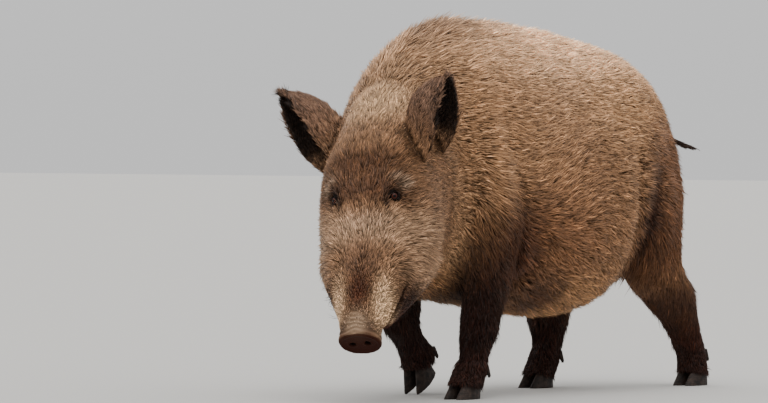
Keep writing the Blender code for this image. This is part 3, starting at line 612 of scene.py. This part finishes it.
HEAD_PATCHES = [  # colour, strength, centre (distance from the middle, down, out), reach
    ("#a98866", 0.90, (0.0, -0.225, -0.02), (0.085, 0.065, 0.12)),  # nape
    ("#71533a", 0.80, (0.0, -0.120, 0.0), (0.080, 0.045, 0.08)),  # forehead
    ("#9c7e62", 0.65, (0.085, 0.070, -0.03), (0.060, 0.045, 0.08)),  # under the eye
    ("#9c8068", 0.60, (0.018, 0.070, 0.03), (0.050, 0.024, 0.06)),  # bridge
    ("#3e2514", 0.88, (0.020, -0.060, 0.02), (0.075, 0.038, 0.07)),  # frown
    ("#432a1a", 0.88, (0.030, -0.003, 0.02), (0.088, 0.034, 0.07)),  # between the eyes
    ("#96795f", 0.70, (0.030, 0.098, 0.03), (0.060, 0.028, 0.06)),  # lower bridge
    ("#694c37", 0.90, (0.000, 0.155, 0.03), (0.056, 0.048, 0.05)),  # nose
    ("#41200f", 0.95, (0.000, 0.215, 0.03), (0.032, 0.048, 0.05)),  # stripe
    ("#a58467", 0.85, (0.110, 0.145, -0.08), (0.055, 0.070, 0.085)),  # jowl
    ("#8f6f53", 0.60, (0.155, 0.080, -0.08), (0.035, 0.120, 0.10)),  # back of the cheek
    ("#d6b18a", 0.92, (0.052, 0.248, 0.00), (0.022, 0.060, 0.040)),  # side of the muzzle
    ("#2e190d", 0.90, (0.086, 0.240, -0.050), (0.020, 0.060, 0.042)),  # lips
    ("#a0856c", 0.95, (0.000, 0.288, 0.03), (0.030, 0.030, 0.03)),  # snout folds
    ("#8a6649", 0.65, (0.110, 0.125, -0.19), (0.070, 0.090, 0.05)),  # edge of the jaw
    # Painted shade round the eye, where the brow overhangs the upper lid.
    ("#27170f", 0.80, (0.062, -0.005, 0.0), (0.015, 0.011, 0.03)),  # socket
    ("#1f130d", 0.85, (0.051, 0.024, 0.0), (0.005, 0.020, 0.03)),  # tear groove
    ("#9a8570", 0.40, (0.068, -0.034, 0.0), (0.014, 0.006, 0.03)),  # arc over the eye
    ("#9a8570", 0.45, (0.087, -0.024, 0.0), (0.009, 0.013, 0.03)),  # its outer end
]
PATCH_EDGE = 1.5  # flatness of the patches
EAR_BASE, EAR_TIP = "#61452f", "#614838"
# The hollow of the ear: darker inner hair, deepened with painted shade inside the hollow.
EAR_HOLLOW_HAIR_AND_SHADE, EAR_HOLLOW_BASE = "#231710", "#75614f"
EYE_RIM_COLOUR = "#1c120e"
MOUTH_COLOUR = "#1d110c"
# The disc: dark skin, made darker still with painted shade on its downturned face.
DISC_SKIN_AND_SHADE = "#2d0f06"
# Painted shade down in the nostrils.
NOSTRIL_SHADE = "#080403"


def markings_and_painted_light(points, normals, shares):
    """Linear colour at each point: the coat's own marks, with painted light on the back and
    painted shade on the lower flank, in the crease of the flank, under the belly and the chest and
    round the eyes. The ears are paler at the base than at the tip, and dark in the hollow: darker
    inner hair, with painted shade inside the hollow."""
    colour = sum(np.outer(share, linear(ZONE_COLOURS[zone])) for zone, share in shares.items())
    upward, hollow = ear_place(points, normals)
    eared = shares["ear"] * ramp(upward, 0.08, 0.36)
    headed = share_of(shares, *FACE, "ear") - eared
    bodied = 1 - headed - eared - shares["tail"]
    body, head = mirrored(from_middle(points)), mirrored(in_head(points))
    for patches, place, cover in ((BODY_PATCHES, body, bodied), (HEAD_PATCHES, head, headed)):
        for patch_colour, strength, centre, reach in patches:
            share = strength * bell(place, centre, reach, PATCH_EDGE) * cover
            colour = laid_over(colour, linear(patch_colour), share)
    outer = laid_over(linear(EAR_BASE), linear(EAR_TIP), ramp(upward, 0.15, 0.75))
    inner = laid_over(linear(EAR_HOLLOW_BASE), linear(EAR_HOLLOW_HAIR_AND_SHADE), ramp(upward, 0.10, 0.30))
    colour = laid_over(colour, laid_over(outer, inner, hollow), eared)
    eye_rim = hump(np.maximum(eye_distance(points) - EYE_RADIUS, 0), 0.0035)
    return laid_over(colour, linear(EYE_RIM_COLOUR), eye_rim)


def long_axis(name):
    """The direction in which a CAD node is longest, pointing up."""
    corners = points_of(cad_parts[name])
    axis = np.linalg.svd(corners - corners.mean(axis=0), full_matrices=False)[2][0]
    return axis if axis[2] > 0 else -axis


EAR_AXES = {name: long_axis(name) for name in ("ear_left", "ear_right")}


def ear_place(points, normals):
    """How far up its ear each point is, from 0 at the foot to 1 at the tip, and how much its
    normal points at the line that runs up the hollow, from the middle of the ear to the tip."""
    upward, inward = np.zeros(len(points)), np.zeros(len(points))
    left = from_middle(points)[:, 0] > 0.05  # the head is turned, so the ears lie about this plane
    for name, chosen in (("ear_left", left), ("ear_right", ~left)):
        axis, corners = EAR_AXES[name], points_of(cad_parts[name])
        low, high = (corners @ axis).min(), (corners @ axis).max()
        share = (points @ axis - low) / (high - low)
        middle = corners.mean(axis=0)
        tip = corners[np.argmax(corners @ axis)]
        above = np.clip((share - 0.5) / 0.5, 0, 1)[:, None]
        away = middle + (tip - middle) * above - points
        away = unit(away - np.outer(away @ axis, axis))
        upward = np.where(chosen, share, upward)
        inward = np.where(chosen, ramp(np.sum(away * normals, axis=1), -0.15, 0.25), inward)
    return np.clip(upward, 0, 1), inward


def put_colour(obj, name, values):
    layer = obj.data.color_attributes.new(name, "FLOAT_COLOR", "POINT")
    layer.data.foreach_set("color", np.column_stack([values, np.ones(len(values))]).ravel())


def put_value(obj, name, values):
    layer = obj.data.attributes.new(name, "FLOAT", "POINT")
    layer.data.foreach_set("value", values)


hide_colour = markings_and_painted_light(points, normals_of(skin), shares)
disc_side = ramp(disc_out, -0.015, -0.006) * ramp(headed, 0.3, 0.7)
bare = np.maximum(disc_side, 0.6 * wrinkled)
lip = np.zeros(len(points))
lip[muzzle] = hump(gap, 0.0035) * mouth
disc_share = hump(disc_out, 0.006) * (edge < 1.08)
# How much painted shade each point takes in the nostrils.
nostril_shade_share = (1 - ramp(hole, 0.7, 1.05)) * (edge < 1)
# Under the hair the hide is darker: the dark underwool, with painted shade down among the tufts.
hide_colour = hide_colour * (0.35 + 0.65 * bare[:, None])  # darker under the hair
hide_colour = laid_over(hide_colour, linear(MOUTH_COLOUR), lip)
# Over the disc, its dark skin with painted shade laid into it.
hide_colour = laid_over(hide_colour, linear(DISC_SKIN_AND_SHADE), disc_share)
# Painted shade in the nostrils.
hide_colour = laid_over(hide_colour, linear(NOSTRIL_SHADE), nostril_shade_share)
put_colour(skin, "hide_colour", hide_colour)
put_value(skin, "bare", np.maximum(bare, disc_share))

# Hide: leathery skin under short hair, dull, with fine pores; the bare snout is damp, so it is
# smoother and picks up soft highlights.
PORE_SIZE, PEBBLE_SIZE = 0.0024, 0.0019
hide, tree = new_material("boar hide, dull leathery skin")
grain = node(tree, "TexCoord").outputs["Object"]
tone = node(tree, "Attribute", {"attribute_name": "hide_colour"}).outputs["Color"]
damp = node(tree, "Attribute", {"attribute_name": "bare"})
pores = node(tree, "TexNoise", Vector=grain, Scale=1 / PORE_SIZE, Detail=4.0, Roughness=0.6)
pebbles = node(tree, "TexVoronoi", Vector=grain, Scale=1 / PEBBLE_SIZE)
pore, pebble = pores.outputs[0], pebbles.outputs["Distance"]
speckle = node(tree, "MapRange", Value=pore, From_Min=0.3, From_Max=0.7, To_Min=0.75, To_Max=1.2)
tinted = node(tree, "VectorMath", {"operation": "SCALE"}, Vector=tone, Scale=speckle.outputs[0])
relief = node(tree, "Math", {"operation": "ADD"}, Value=pore, Value__1=pebble)
bump = node(tree, "Bump", Strength=0.45, Distance=0.0007, Height=relief.outputs[0])
dull = node(tree, "MapRange", Value=damp.outputs["Fac"], To_Min=0.85, To_Max=0.55)
shader = node(
    tree,
    "BsdfPrincipled",
    Base_Color=tinted.outputs[0],
    Roughness=dull.outputs[0],
    Specular_IOR_Level=0.08,
    Normal=bump.outputs[0],
)
node(tree, "OutputMaterial", Surface=shader.outputs[0])
skin.data.materials.clear()
skin.data.materials.append(hide)
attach(skin, "root")
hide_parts(*FLESH)

# ---------------------------------------------------------------- eyes
# Two wet brown eyeballs with a slightly proud clear cornea over a dark pupil, set in the sockets
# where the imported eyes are.
EYE_AROUND, EYE_RINGS = 48, 30
IRIS_ANGLE, PUPIL_ANGLE = 0.52, 0.24
CORNEA_RISE = 0.0009
IRIS_STREAK = 0.0011
PUPIL_COLOUR = "#030202"
IRIS_RING = [  # angle from the gaze in half turns, colour: pupil's edge, iris, its rim, white
    ((PUPIL_ANGLE + 0.06) / math.pi, "#451a0b"),
    (IRIS_ANGLE / math.pi, "#2c1007"),
    ((IRIS_ANGLE + 0.05) / math.pi, "#0c0604"),
    (0.4, "#1a0f0b"),
]


def eyeball(centre, gaze, upward):
    """A sphere of rings about the gaze: every point is radius times the direction at its angle
    from the gaze and turn around it, with the radius raised by a Gaussian over the iris."""
    angle = np.linspace(0.02, np.pi - 0.02, EYE_RINGS)[:, None]
    turn = np.linspace(0, 2 * np.pi, EYE_AROUND, endpoint=False)[None, :]
    radius = EYE_RADIUS + CORNEA_RISE * np.exp(-((angle / IRIS_ANGLE) ** 2))
    across = np.cross(upward, gaze)
    parts = [
        (np.cos(angle) + 0 * turn, gaze),
        (np.sin(angle) * np.cos(turn), across),
        (np.sin(angle) * np.sin(turn), upward),
    ]
    points = sum((radius * share)[..., None] * axis for share, axis in parts).reshape(-1, 3)
    ring, step = np.meshgrid(np.arange(EYE_RINGS - 1), np.arange(EYE_AROUND), indexing="ij")
    here, beside = ring * EYE_AROUND + step, ring * EYE_AROUND + (step + 1) % EYE_AROUND
    quads = np.stack([here, here + EYE_AROUND, beside + EYE_AROUND, beside], axis=-1)
    return centre + points, quads.reshape(-1, 4), np.repeat(angle[:, 0], EYE_AROUND)


# The tear film over the cornea gives one small sharp highlight above a dark brown iris.
wet_eye, tree = new_material("wet eyeball, clear cornea over brown iris")
angle = node(tree, "Attribute", {"attribute_name": "gaze_angle"})
grain = node(tree, "TexCoord").outputs["Object"]
streaks = node(tree, "TexNoise", Vector=grain, Scale=1 / IRIS_STREAK, Detail=3.0)
ring = node(tree, "ValToRGB", Fac=angle.outputs["Fac"])
stops = ring.color_ramp.elements
stops[0].position, stops[0].color = PUPIL_ANGLE / math.pi, rgba(PUPIL_COLOUR)
stops[1].position, stops[1].color = IRIS_RING[0][0], rgba(IRIS_RING[0][1])
for turned, stop_colour in IRIS_RING[1:]:
    stops.new(turned).color = rgba(stop_colour)
streaked = node(
    tree, "MapRange", Value=streaks.outputs[0], From_Min=0.3, From_Max=0.7, To_Min=0.7, To_Max=1.3
)
tinted = node(
    tree, "VectorMath", {"operation": "SCALE"}, Vector=ring.outputs[0], Scale=streaked.outputs[0]
)
shader = node(
    tree, "BsdfPrincipled", Base_Color=tinted.outputs[0], Roughness=0.08, Specular_IOR_Level=0.14
)
node(tree, "OutputMaterial", Surface=shader.outputs[0])

for eye in ("eye_left", "eye_right"):
    upward = unit(np.cross(gaze_of[eye], corner_of[eye]))
    eye_points, eye_faces, angles = eyeball(centre_of[eye], gaze_of[eye], upward)
    ball = mesh_object(eye.replace("eye", "eyeball"), eye_points, eye_faces)
    fill = bmesh.new()
    fill.from_mesh(ball.data)
    bmesh.ops.holes_fill(fill, edges=[e for e in fill.edges if e.is_boundary])
    bmesh.ops.recalc_face_normals(fill, faces=fill.faces)
    fill.to_mesh(ball.data)
    fill.free()
    put_value(ball, "gaze_angle", angles / np.pi)
    ball.data.shade_smooth()
    ball.data.materials.append(wet_eye)
    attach(ball, "root")
    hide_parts(eye)

# ---------------------------------------------------------------- hooves
# Cloven hooves and dewclaws of dull dark horn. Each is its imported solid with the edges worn
# round, and growth rings and scuffs in the horn.
HOOF_GRAIN = 0.0017
GROWTH_RING, DUST_PATCH = 0.0045, 0.011
WAVE_STEP = math.pi / 10  # from band to band of a wave texture at scale 1
HORN_COLOUR, DUST_COLOUR = "#17110e", "#40322a"
WEAR_ROUNDS, SOLE_DEPTH = 5, 0.0012

# Horn is hard but worn dull: its rings show as fine relief, and dried earth as paler patches.
horn, tree = new_material("hoof horn, worn and dusty")
grain = node(tree, "TexCoord").outputs["Object"]
rings = node(
    tree,
    "TexWave",
    {"bands_direction": "Z"},
    Vector=grain,
    Scale=WAVE_STEP / GROWTH_RING,
    Distortion=3.0,
    Detail=3.0,
)
dust = node(tree, "TexNoise", Vector=grain, Scale=1 / DUST_PATCH, Detail=6.0, Roughness=0.65)
dusty = node(tree, "MapRange", Value=dust.outputs[0], From_Min=0.40, From_Max=0.75)
shade = node(tree, "Mix", {"data_type": "RGBA"}, Factor=dusty.outputs[0])
for socket, tone in ((6, HORN_COLOUR), (7, DUST_COLOUR)):  # the two colour sockets of a Mix
    shade.inputs[socket].default_value = rgba(tone)
bump = node(tree, "Bump", Strength=0.5, Distance=0.0006, Height=rings.outputs["Fac"])
shader = node(
    tree,
    "BsdfPrincipled",
    Base_Color=shade.outputs[2],
    Roughness=0.6,
    Specular_IOR_Level=0.22,
    Normal=bump.outputs[0],
)
node(tree, "OutputMaterial", Surface=shader.outputs[0])

for name in sorted(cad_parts):
    if not name.startswith(("hoof", "dewclaw")):
        continue
    label = name.replace("hoof", "claw").replace("dewclaw", "side_claw")
    claw = joined_copy(label, [name], 0.0)
    run_together(claw, HOOF_GRAIN)
    worn = smoothed(points_of(claw), edges_of(claw), WEAR_ROUNDS, 0.5)
    sole = worn[:, 2] < worn[:, 2].min() + SOLE_DEPTH
    worn[:, 2] = np.where(sole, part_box(name)[0].z, worn[:, 2])
    set_points(claw, worn)
    claw.data.materials.clear()
    claw.data.materials.append(horn)
    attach(claw, "root")
    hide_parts(name)

# ---------------------------------------------------------------- coat
# Coarse split-ended bristles over wool, in tufts that root on the hide and lie back along the
# body. Each tuft is one thin closed spindle: it rises from the root, is widest two fifths of the
# way along, and bends down again to its tip.
TUFT_TRIANGLES = np.array([[0, 3, 1], [0, 2, 3], [0, 1, 2], [4, 1, 3], [4, 3, 2], [4, 2, 1]])
TUFT_PATCH = 0.003  # size of a tuft's patch on the unwrap
PATCH_PLACES = np.array([[0.0, -0.5], [-0.5, -0.1], [0.5, -0.1], [0.0, 0.0], [0.0, 0.5]])
# Dark roots and pale tips are the bristles' own colour; the ridge, a little paler than the sides,
# is a painted highlight along the top of each tuft.
TUFT_SHADES = np.array([0.12, 0.68, 0.68, 0.85, 2.1])  # at the root, both sides, ridge and tip
PIECE_LIMIT = 32500  # tufts to a piece, under 200,000 triangles
ROOT_DEPTH = 0.0012  # each tuft starts this far under the hide
# How much single tufts differ from the table: their way in radians, the rest as a share.
WAY_SPREAD, LENGTH_SPREAD, WIDTH_SPREAD, SHADE_SPREAD = 0.13, 0.20, 0.18, 0.36
SWIRLS = ((0.22, 0.05, 3), (0.16, 0.018, 4))  # size, wavelength and seed, turning whole locks
LOCKS = ((0.24, 0.011, 6), (0.12, 0.045, 7))  # the same, making them paler and darker
EAR_FRINGE = 0.17  # how much longer the hair is along the rim of the ear
GREY_SHARE, GREY_LIMIT = 0.16, 0.09  # of the tufts darker than the limit, this share is grey


def square_to(vectors, normals):
    """Each vector without its part along the normal, made one long."""
    return unit(vectors - normals * np.sum(vectors * normals, axis=1)[:, None])


def rippled(points, ripples):
    """The sum of some waves, each of its own size, wavelength and seed."""
    return sum(size * waves(points, length, seed) for size, length, seed in ripples)


def row(x, y, z, count):
    """The same direction in so many rows, where any of its values may be an array."""
    return np.column_stack([value * np.ones(count) for value in (x, y, z)])


def lie_of_coat(points, normals, shares):
    """The way the hair points at each place: back along the trunk and down its sides, up the
    face from the snout and out over the cheeks, down the legs and up the ears. Each zone has its
    own direction, they are blended by share, and the sum is laid in the surface."""
    x, y, z = from_middle(points).T
    head, count = in_head(points), len(points)
    drop = -0.16 - 0.30 * ramp(-z, -0.50, -0.28)
    drop = drop + 0.95 * bell(points[:, 1:], (-0.02, 0.46), (0.12, 0.13))  # over the shoulder
    drop = drop - 1.6 * ramp(y, 0.36, 0.52)  # down the rump
    trunk = row(0, 1 - 0.5 * ramp(y, 0.40, 0.54), drop, count)
    neck = row(-0.22, 1, 0.10 - 0.45 * ramp(-z, -0.60, -0.35), count)
    aside = ramp(np.abs(head[:, 0]), 0.025, 0.100)
    sagging = 0.35 * ramp(head[:, 1], 0.06, 0.16) * aside
    under = ramp(-head[:, 2], 0.10, 0.16)
    face = row(
        (0.10 + 0.55 * aside * ramp(head[:, 1], -0.06, 0.06)) * np.sign(head[:, 0]),
        -(1 - 0.72 * aside) * (1 - under) + sagging,
        -0.25 - 1.0 * aside - under,
        count,
    )
    face = face @ HEAD_AXES
    leg = row(0, 0.18, -1, count)
    thigh = row(0, 0.55, -1, count) * ramp(-z, -0.52, -0.34)[:, None]
    thigh = thigh + trunk * ramp(z, 0.34, 0.52)[:, None] - row(0, stifle(points), 0, count)
    ear = np.where((x > 0.05)[:, None], EAR_AXES["ear_left"], EAR_AXES["ear_right"])
    tail = row(0.30, 1, -0.45, count)
    ways = dict(head=face, jaw=face, snout=face, neck=neck, trunk=trunk, upper_leg=thigh)
    ways.update(lower_leg=leg, foot=leg, ear=ear, tail=tail)
    total = sum(shares[zone][:, None] * unit(way) for zone, way in ways.items())
    return square_to(total, normals)


def turn_of(a, b):
    """The angle of each pair of distances, from 0 to 1 for a whole turn."""
    return (np.arctan2(a, b) / (2 * np.pi)) % 1.0


def span(value, low, high):
    """0 below low, 1 above high and even steps between."""
    return np.clip((value - low) / (high - low), 0, 1)


def unwrap(points, shares):
    """Each point's place on an unwrap of the hide, from 0 to 1 both ways: every part of the body
    has its own rectangle. One way goes the distance along the part, and the other way the turn
    round the part's own axis."""
    x, y, z = from_middle(points).T
    head = in_head(points)
    left, fore = x > 0, y < 0.05
    ear_x = np.where(left, centre_of["ear_left"][0], centre_of["ear_right"][0]) - MIDDLE
    ear_turn = turn_of(x - ear_x, y - centre_of["ear_left"][1])
    leg_x = np.where(left, 0.115, -0.115)
    leg_y = np.where(fore, -0.20, np.where(left, 0.50, 0.30))
    leg_turn = turn_of(x - leg_x, y - leg_y)
    head_turn = turn_of(head[:, 0], head[:, 2] + 0.11)
    tail_turn = turn_of(x - 0.02, z - 0.60)
    column = 0.60 + 0.10 * (left * 1.0 + 2.0 * fore)
    body, face = share_of(shares, "trunk", "neck"), share_of(shares, *FACE)
    legs = share_of(shares, "upper_leg", "lower_leg", "foot")
    parts = [  # share, place across, place up
        (body, 0.01 + 0.57 * span(y, -0.50, 0.56), 0.01 + 0.97 * turn_of(x, z - 0.50)),
        (face, 0.60 + 0.26 * span(head[:, 1], -0.32, 0.33), 0.51 + 0.46 * head_turn),
        (legs, column + 0.085 * leg_turn, 0.01 + 0.46 * span(z, 0.0, 0.62)),
        (shares["ear"], 0.88 + 0.05 * left + 0.04 * ear_turn, 0.51 + 0.30 * span(z, 0.48, 0.76)),
        (shares["tail"], 0.88 + 0.10 * span(y, 0.46, 0.72), 0.85 + 0.10 * tail_turn),
    ]
    share, across, upward = (np.array([part[k] for part in parts]) for k in range(3))
    chosen, rows = np.argmax(share, axis=0), np.arange(len(points))
    return np.column_stack([across[chosen, rows], upward[chosen, rows]])


def roots_on(points, triangles, spacing, rng):
    """Evenly spread places on the hide: the triangles' areas over the square of the spacing are
    summed up, and a root falls at every whole number of that sum. Gives triangle and weights."""
    a, b, c = (points[triangles[:, k]] for k in range(3))
    area = np.linalg.norm(np.cross(b - a, c - a), axis=1) / 2
    wanted = np.cumsum(area / spacing[triangles].mean(axis=1) ** 2)
    marks = np.arange(int(wanted[-1])) + rng.uniform(0, 1, int(wanted[-1]))
    chosen = np.minimum(np.searchsorted(wanted, marks), len(triangles) - 1)
    first, second = np.sqrt(rng.uniform(0, 1, len(chosen))), rng.uniform(0, 1, len(chosen))
    weights = np.column_stack([1 - first, first * (1 - second), first * second])
    return chosen, weights


def tufts(name, slot_name, root, normal, way, length, width, lift, droop, patch, colour):
    """One mesh of closed spindles. Each goes from its root, a little under the hide, along way
    raised by the angle lift to its widest place, and on at the angle droop to its tip. The
    colour darkens to the root and lightens to the tip."""
    along = way * np.cos(lift)[:, None] + normal * np.sin(lift)[:, None]
    onward = way * np.cos(droop)[:, None] + normal * np.sin(droop)[:, None]
    above = square_to(normal, along)
    across = np.cross(above, along)
    middle = root + along * (0.40 * length)[:, None]
    tip = middle + onward * (0.60 * length)[:, None]
    half = (0.5 * width)[:, None]
    sides = [middle + across * half, middle - across * half, middle + above * half * 0.7]
    vertices = np.stack([root - normal * ROOT_DEPTH, *sides, tip], axis=1).reshape(-1, 3)
    faces = TUFT_TRIANGLES[None] + 5 * np.arange(len(root))[:, None, None]
    faces = faces.reshape(-1, 3)
    mesh = bpy.data.meshes.new(name)
    mesh.vertices.add(len(vertices))
    mesh.vertices.foreach_set("co", vertices.ravel())
    mesh.loops.add(len(faces) * 3)
    mesh.loops.foreach_set("vertex_index", faces.ravel())
    mesh.polygons.add(len(faces))
    mesh.polygons.foreach_set("loop_start", np.arange(len(faces)) * 3)
    mesh.update()
    mesh.validate()
    hair_piece = new_object(name, mesh)
    shaded = colour[:, None, :] * TUFT_SHADES[None, :, None]
    put_colour(hair_piece, "hair_colour", shaded.reshape(-1, 3))
    layer = mesh.uv_layers.new(name="OFBake")
    spots = (patch[:, None, :] + PATCH_PLACES[None] * TUFT_PATCH).reshape(-1, 2)
    layer.data.foreach_set("uv", np.clip(spots[faces.ravel()], 0, 1).ravel())
    mesh.materials.append(bristle)
    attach(hair_piece, "root")


# Bristles have a smooth hard cuticle: a faint sheen along the coat, over the colour of the tuft.
bristle, tree = new_material("boar bristle, coarse and slightly glossy")
tone = node(tree, "Attribute", {"attribute_name": "hair_colour"}).outputs["Color"]
shader = node(tree, "BsdfPrincipled", Base_Color=tone, Roughness=0.52, Specular_IOR_Level=0.22)
node(tree, "OutputMaterial", Surface=shader.outputs[0])

rng = np.random.default_rng(11)
skin_points, skin_normals, triangles = points_of(skin), normals_of(skin), faces_of(skin)
sizes = coat_sizes(skin_points, shares)
way = lie_of_coat(skin_points, skin_normals, shares)
kept = np.clip(disc_side + lip * 0.8 + 0.4 * wrinkled, 0, 1)
rim = np.abs(np.sum((neighbour_mean(skin_points, skin_edges) - skin_points) * skin_normals, axis=1))
rim = ramp(rim, 0.0002, 0.0007)
for _ in range(2):
    rim = np.maximum(rim, neighbour_mean(rim[:, None], skin_edges)[:, 0] * 1.6)
rim = np.clip(rim, 0, 1) * ramp(shares["ear"], 0.4, 0.8)
spacing = sizes[:, 3] * (1 + 6 * kept**3) * (1 - 0.4 * rim)
chosen, weights = roots_on(skin_points, triangles, spacing, rng)


def at_roots(values):
    return np.einsum("nk,nk...->n...", weights, values[triangles[chosen]])


root, normal = at_roots(skin_points), unit(at_roots(skin_normals))
root_shares = {zone: at_roots(share) for zone, share in shares.items()}
depth, length, width = at_roots(sizes)[:, :3].T
length = length * (1 - 0.4 * at_roots(wrinkled))
lie = unit(at_roots(way))
count = len(root)
swirl = rippled(root, SWIRLS) + rng.normal(0, WAY_SPREAD, count)
lie = lie * np.cos(swirl)[:, None] + np.cross(normal, lie) * np.sin(swirl)[:, None]
lie = square_to(lie, normal)
length = length * np.exp(np.clip(rng.normal(0, LENGTH_SPREAD, count), -0.35, 0.35))
length = length * (1 + 0.12 * waves(root, 0.03, 5))
width = width * np.exp(rng.normal(0, WIDTH_SPREAD, count))
rim = at_roots(rim)
length = length * (1 + EAR_FRINGE * rim)
length = length * (1 - 0.45 * root_shares["ear"] * ear_place(root, normal)[1] * (1 - rim))
lift = np.arcsin(np.clip(1.45 * depth / length, 0.02, 0.75)) * rng.uniform(0.5, 1.3, count)
lift = lift + rim * rng.uniform(0.15, 0.70, count)
droop = lift * rng.uniform(-0.10, 0.75, count)
colour = markings_and_painted_light(root, normal, root_shares)
locks = rippled(root, LOCKS)
colour = colour * np.exp(rng.normal(0, SHADE_SPREAD, count) + locks)[:, None]
grey = (rng.uniform(0, 1, count) < GREY_SHARE) & (colour[:, 0] < GREY_LIMIT)
colour[grey] = colour[grey] * 1.5 + 0.012
patch = unwrap(root, root_shares)
hair = dict(root=root, normal=normal, way=lie, length=length, width=width, lift=lift)
hair.update(droop=droop, patch=patch, colour=colour)
covered = rng.uniform(0, 1, count) > np.clip(at_roots(kept) * 1.3, 0, 1)
bodied = share_of(root_shares, "trunk", "neck", "upper_leg") > 0.5
limbed = share_of(root_shares, "lower_leg", "foot", "tail") > 0.4
group = np.where(bodied, 0, np.where(limbed, 1, 2))
keys = group * 10 + (root[:, 0] > MIDDLE) * 1
for key in np.unique(keys):
    members = np.nonzero((keys == key) & covered)[0]
    members = members[np.argsort(root[members, 1], kind="stable")]
    parts = int(np.ceil(len(members) / PIECE_LIMIT))
    for number, part in enumerate(np.array_split(members, parts)):
        kind = ("body", "limbs", "head")[key // 10]
        label = f"coat_{kind}_{'left' if key % 10 else 'right'}_{number + 1}"
        slot_name = "coat_dark" if kind == "limbs" else "coat_body"
        tufts(label, slot_name, **{key: values[part] for key, values in hair.items()})

# Lashes along the upper lids, and single long whiskers on lips, chin and cheeks.
LASHES, WHISKERS = 30, 320
LASH_COLOUR, WHISKER_COLOUR = "#1c120d", "#2a1c15"
LASH_SIZE, WHISKER_SIZE = (0.010, 0.0009, 0.75), (0.030, 0.0008, 0.55)  # length, width, lift
lash_roots, lash_ways, lash_normals = [], [], []
for eye, sign in (("eye_left", 1.0), ("eye_right", -1.0)):
    gaze, corner = gaze_of[eye], corner_of[eye]
    above = np.cross(corner, gaze) * sign
    turn = np.linspace(0.25, np.pi - 0.15, LASHES)[:, None]
    u, v = (LID_HALF_LENGTH + 0.001) * np.cos(turn), (LID_HALF_HEIGHT + 0.0012) * np.sin(turn)
    rise = np.sqrt((EYE_RADIUS + LID_THICKNESS) ** 2 - u**2 - v**2)
    lash_roots.append(centre_of[eye] + u * corner + v * above + rise * gaze)
    lash_ways.append(unit(0.35 * np.cos(turn) * corner + 0.75 * above + 0.25 * gaze))
    lash_normals.append(unit(u * corner + v * above + rise * gaze))
lash_roots, lash_normals = np.vstack(lash_roots), np.vstack(lash_normals)
lash_ways = square_to(np.vstack(lash_ways), lash_normals)
chance = root_shares["head"] * ramp(in_head(root)[:, 1], 0.05, 0.20) + 2 * root_shares["jaw"]
chance = np.where(covered, chance, 0)
picked = rng.choice(count, WHISKERS, replace=False, p=chance / chance.sum())
lash_count = len(lash_roots)
lash_patch = np.column_stack([np.full(lash_count, 0.86), np.linspace(0.55, 0.95, lash_count)])
fine_count = lash_count + WHISKERS
is_lash = np.arange(fine_count) < lash_count
sizes = np.where(is_lash[:, None], LASH_SIZE, WHISKER_SIZE)
fine_length = sizes[:, 0] * rng.uniform(0.7, 1.3, fine_count)
fine_lift = sizes[:, 2] * rng.uniform(0.7, 1.3, fine_count)
tufts(
    "lashes_and_whiskers",
    "coat_dark",
    root=np.vstack([lash_roots, root[picked]]),
    normal=np.vstack([lash_normals, normal[picked]]),
    way=np.vstack([lash_ways, lie[picked]]),
    length=fine_length,
    width=sizes[:, 1],
    lift=fine_lift,
    droop=0.4 * fine_lift,
    patch=np.vstack([lash_patch, patch[picked]]),
    colour=np.where(is_lash[:, None], linear(LASH_COLOUR), linear(WHISKER_COLOUR)),
)
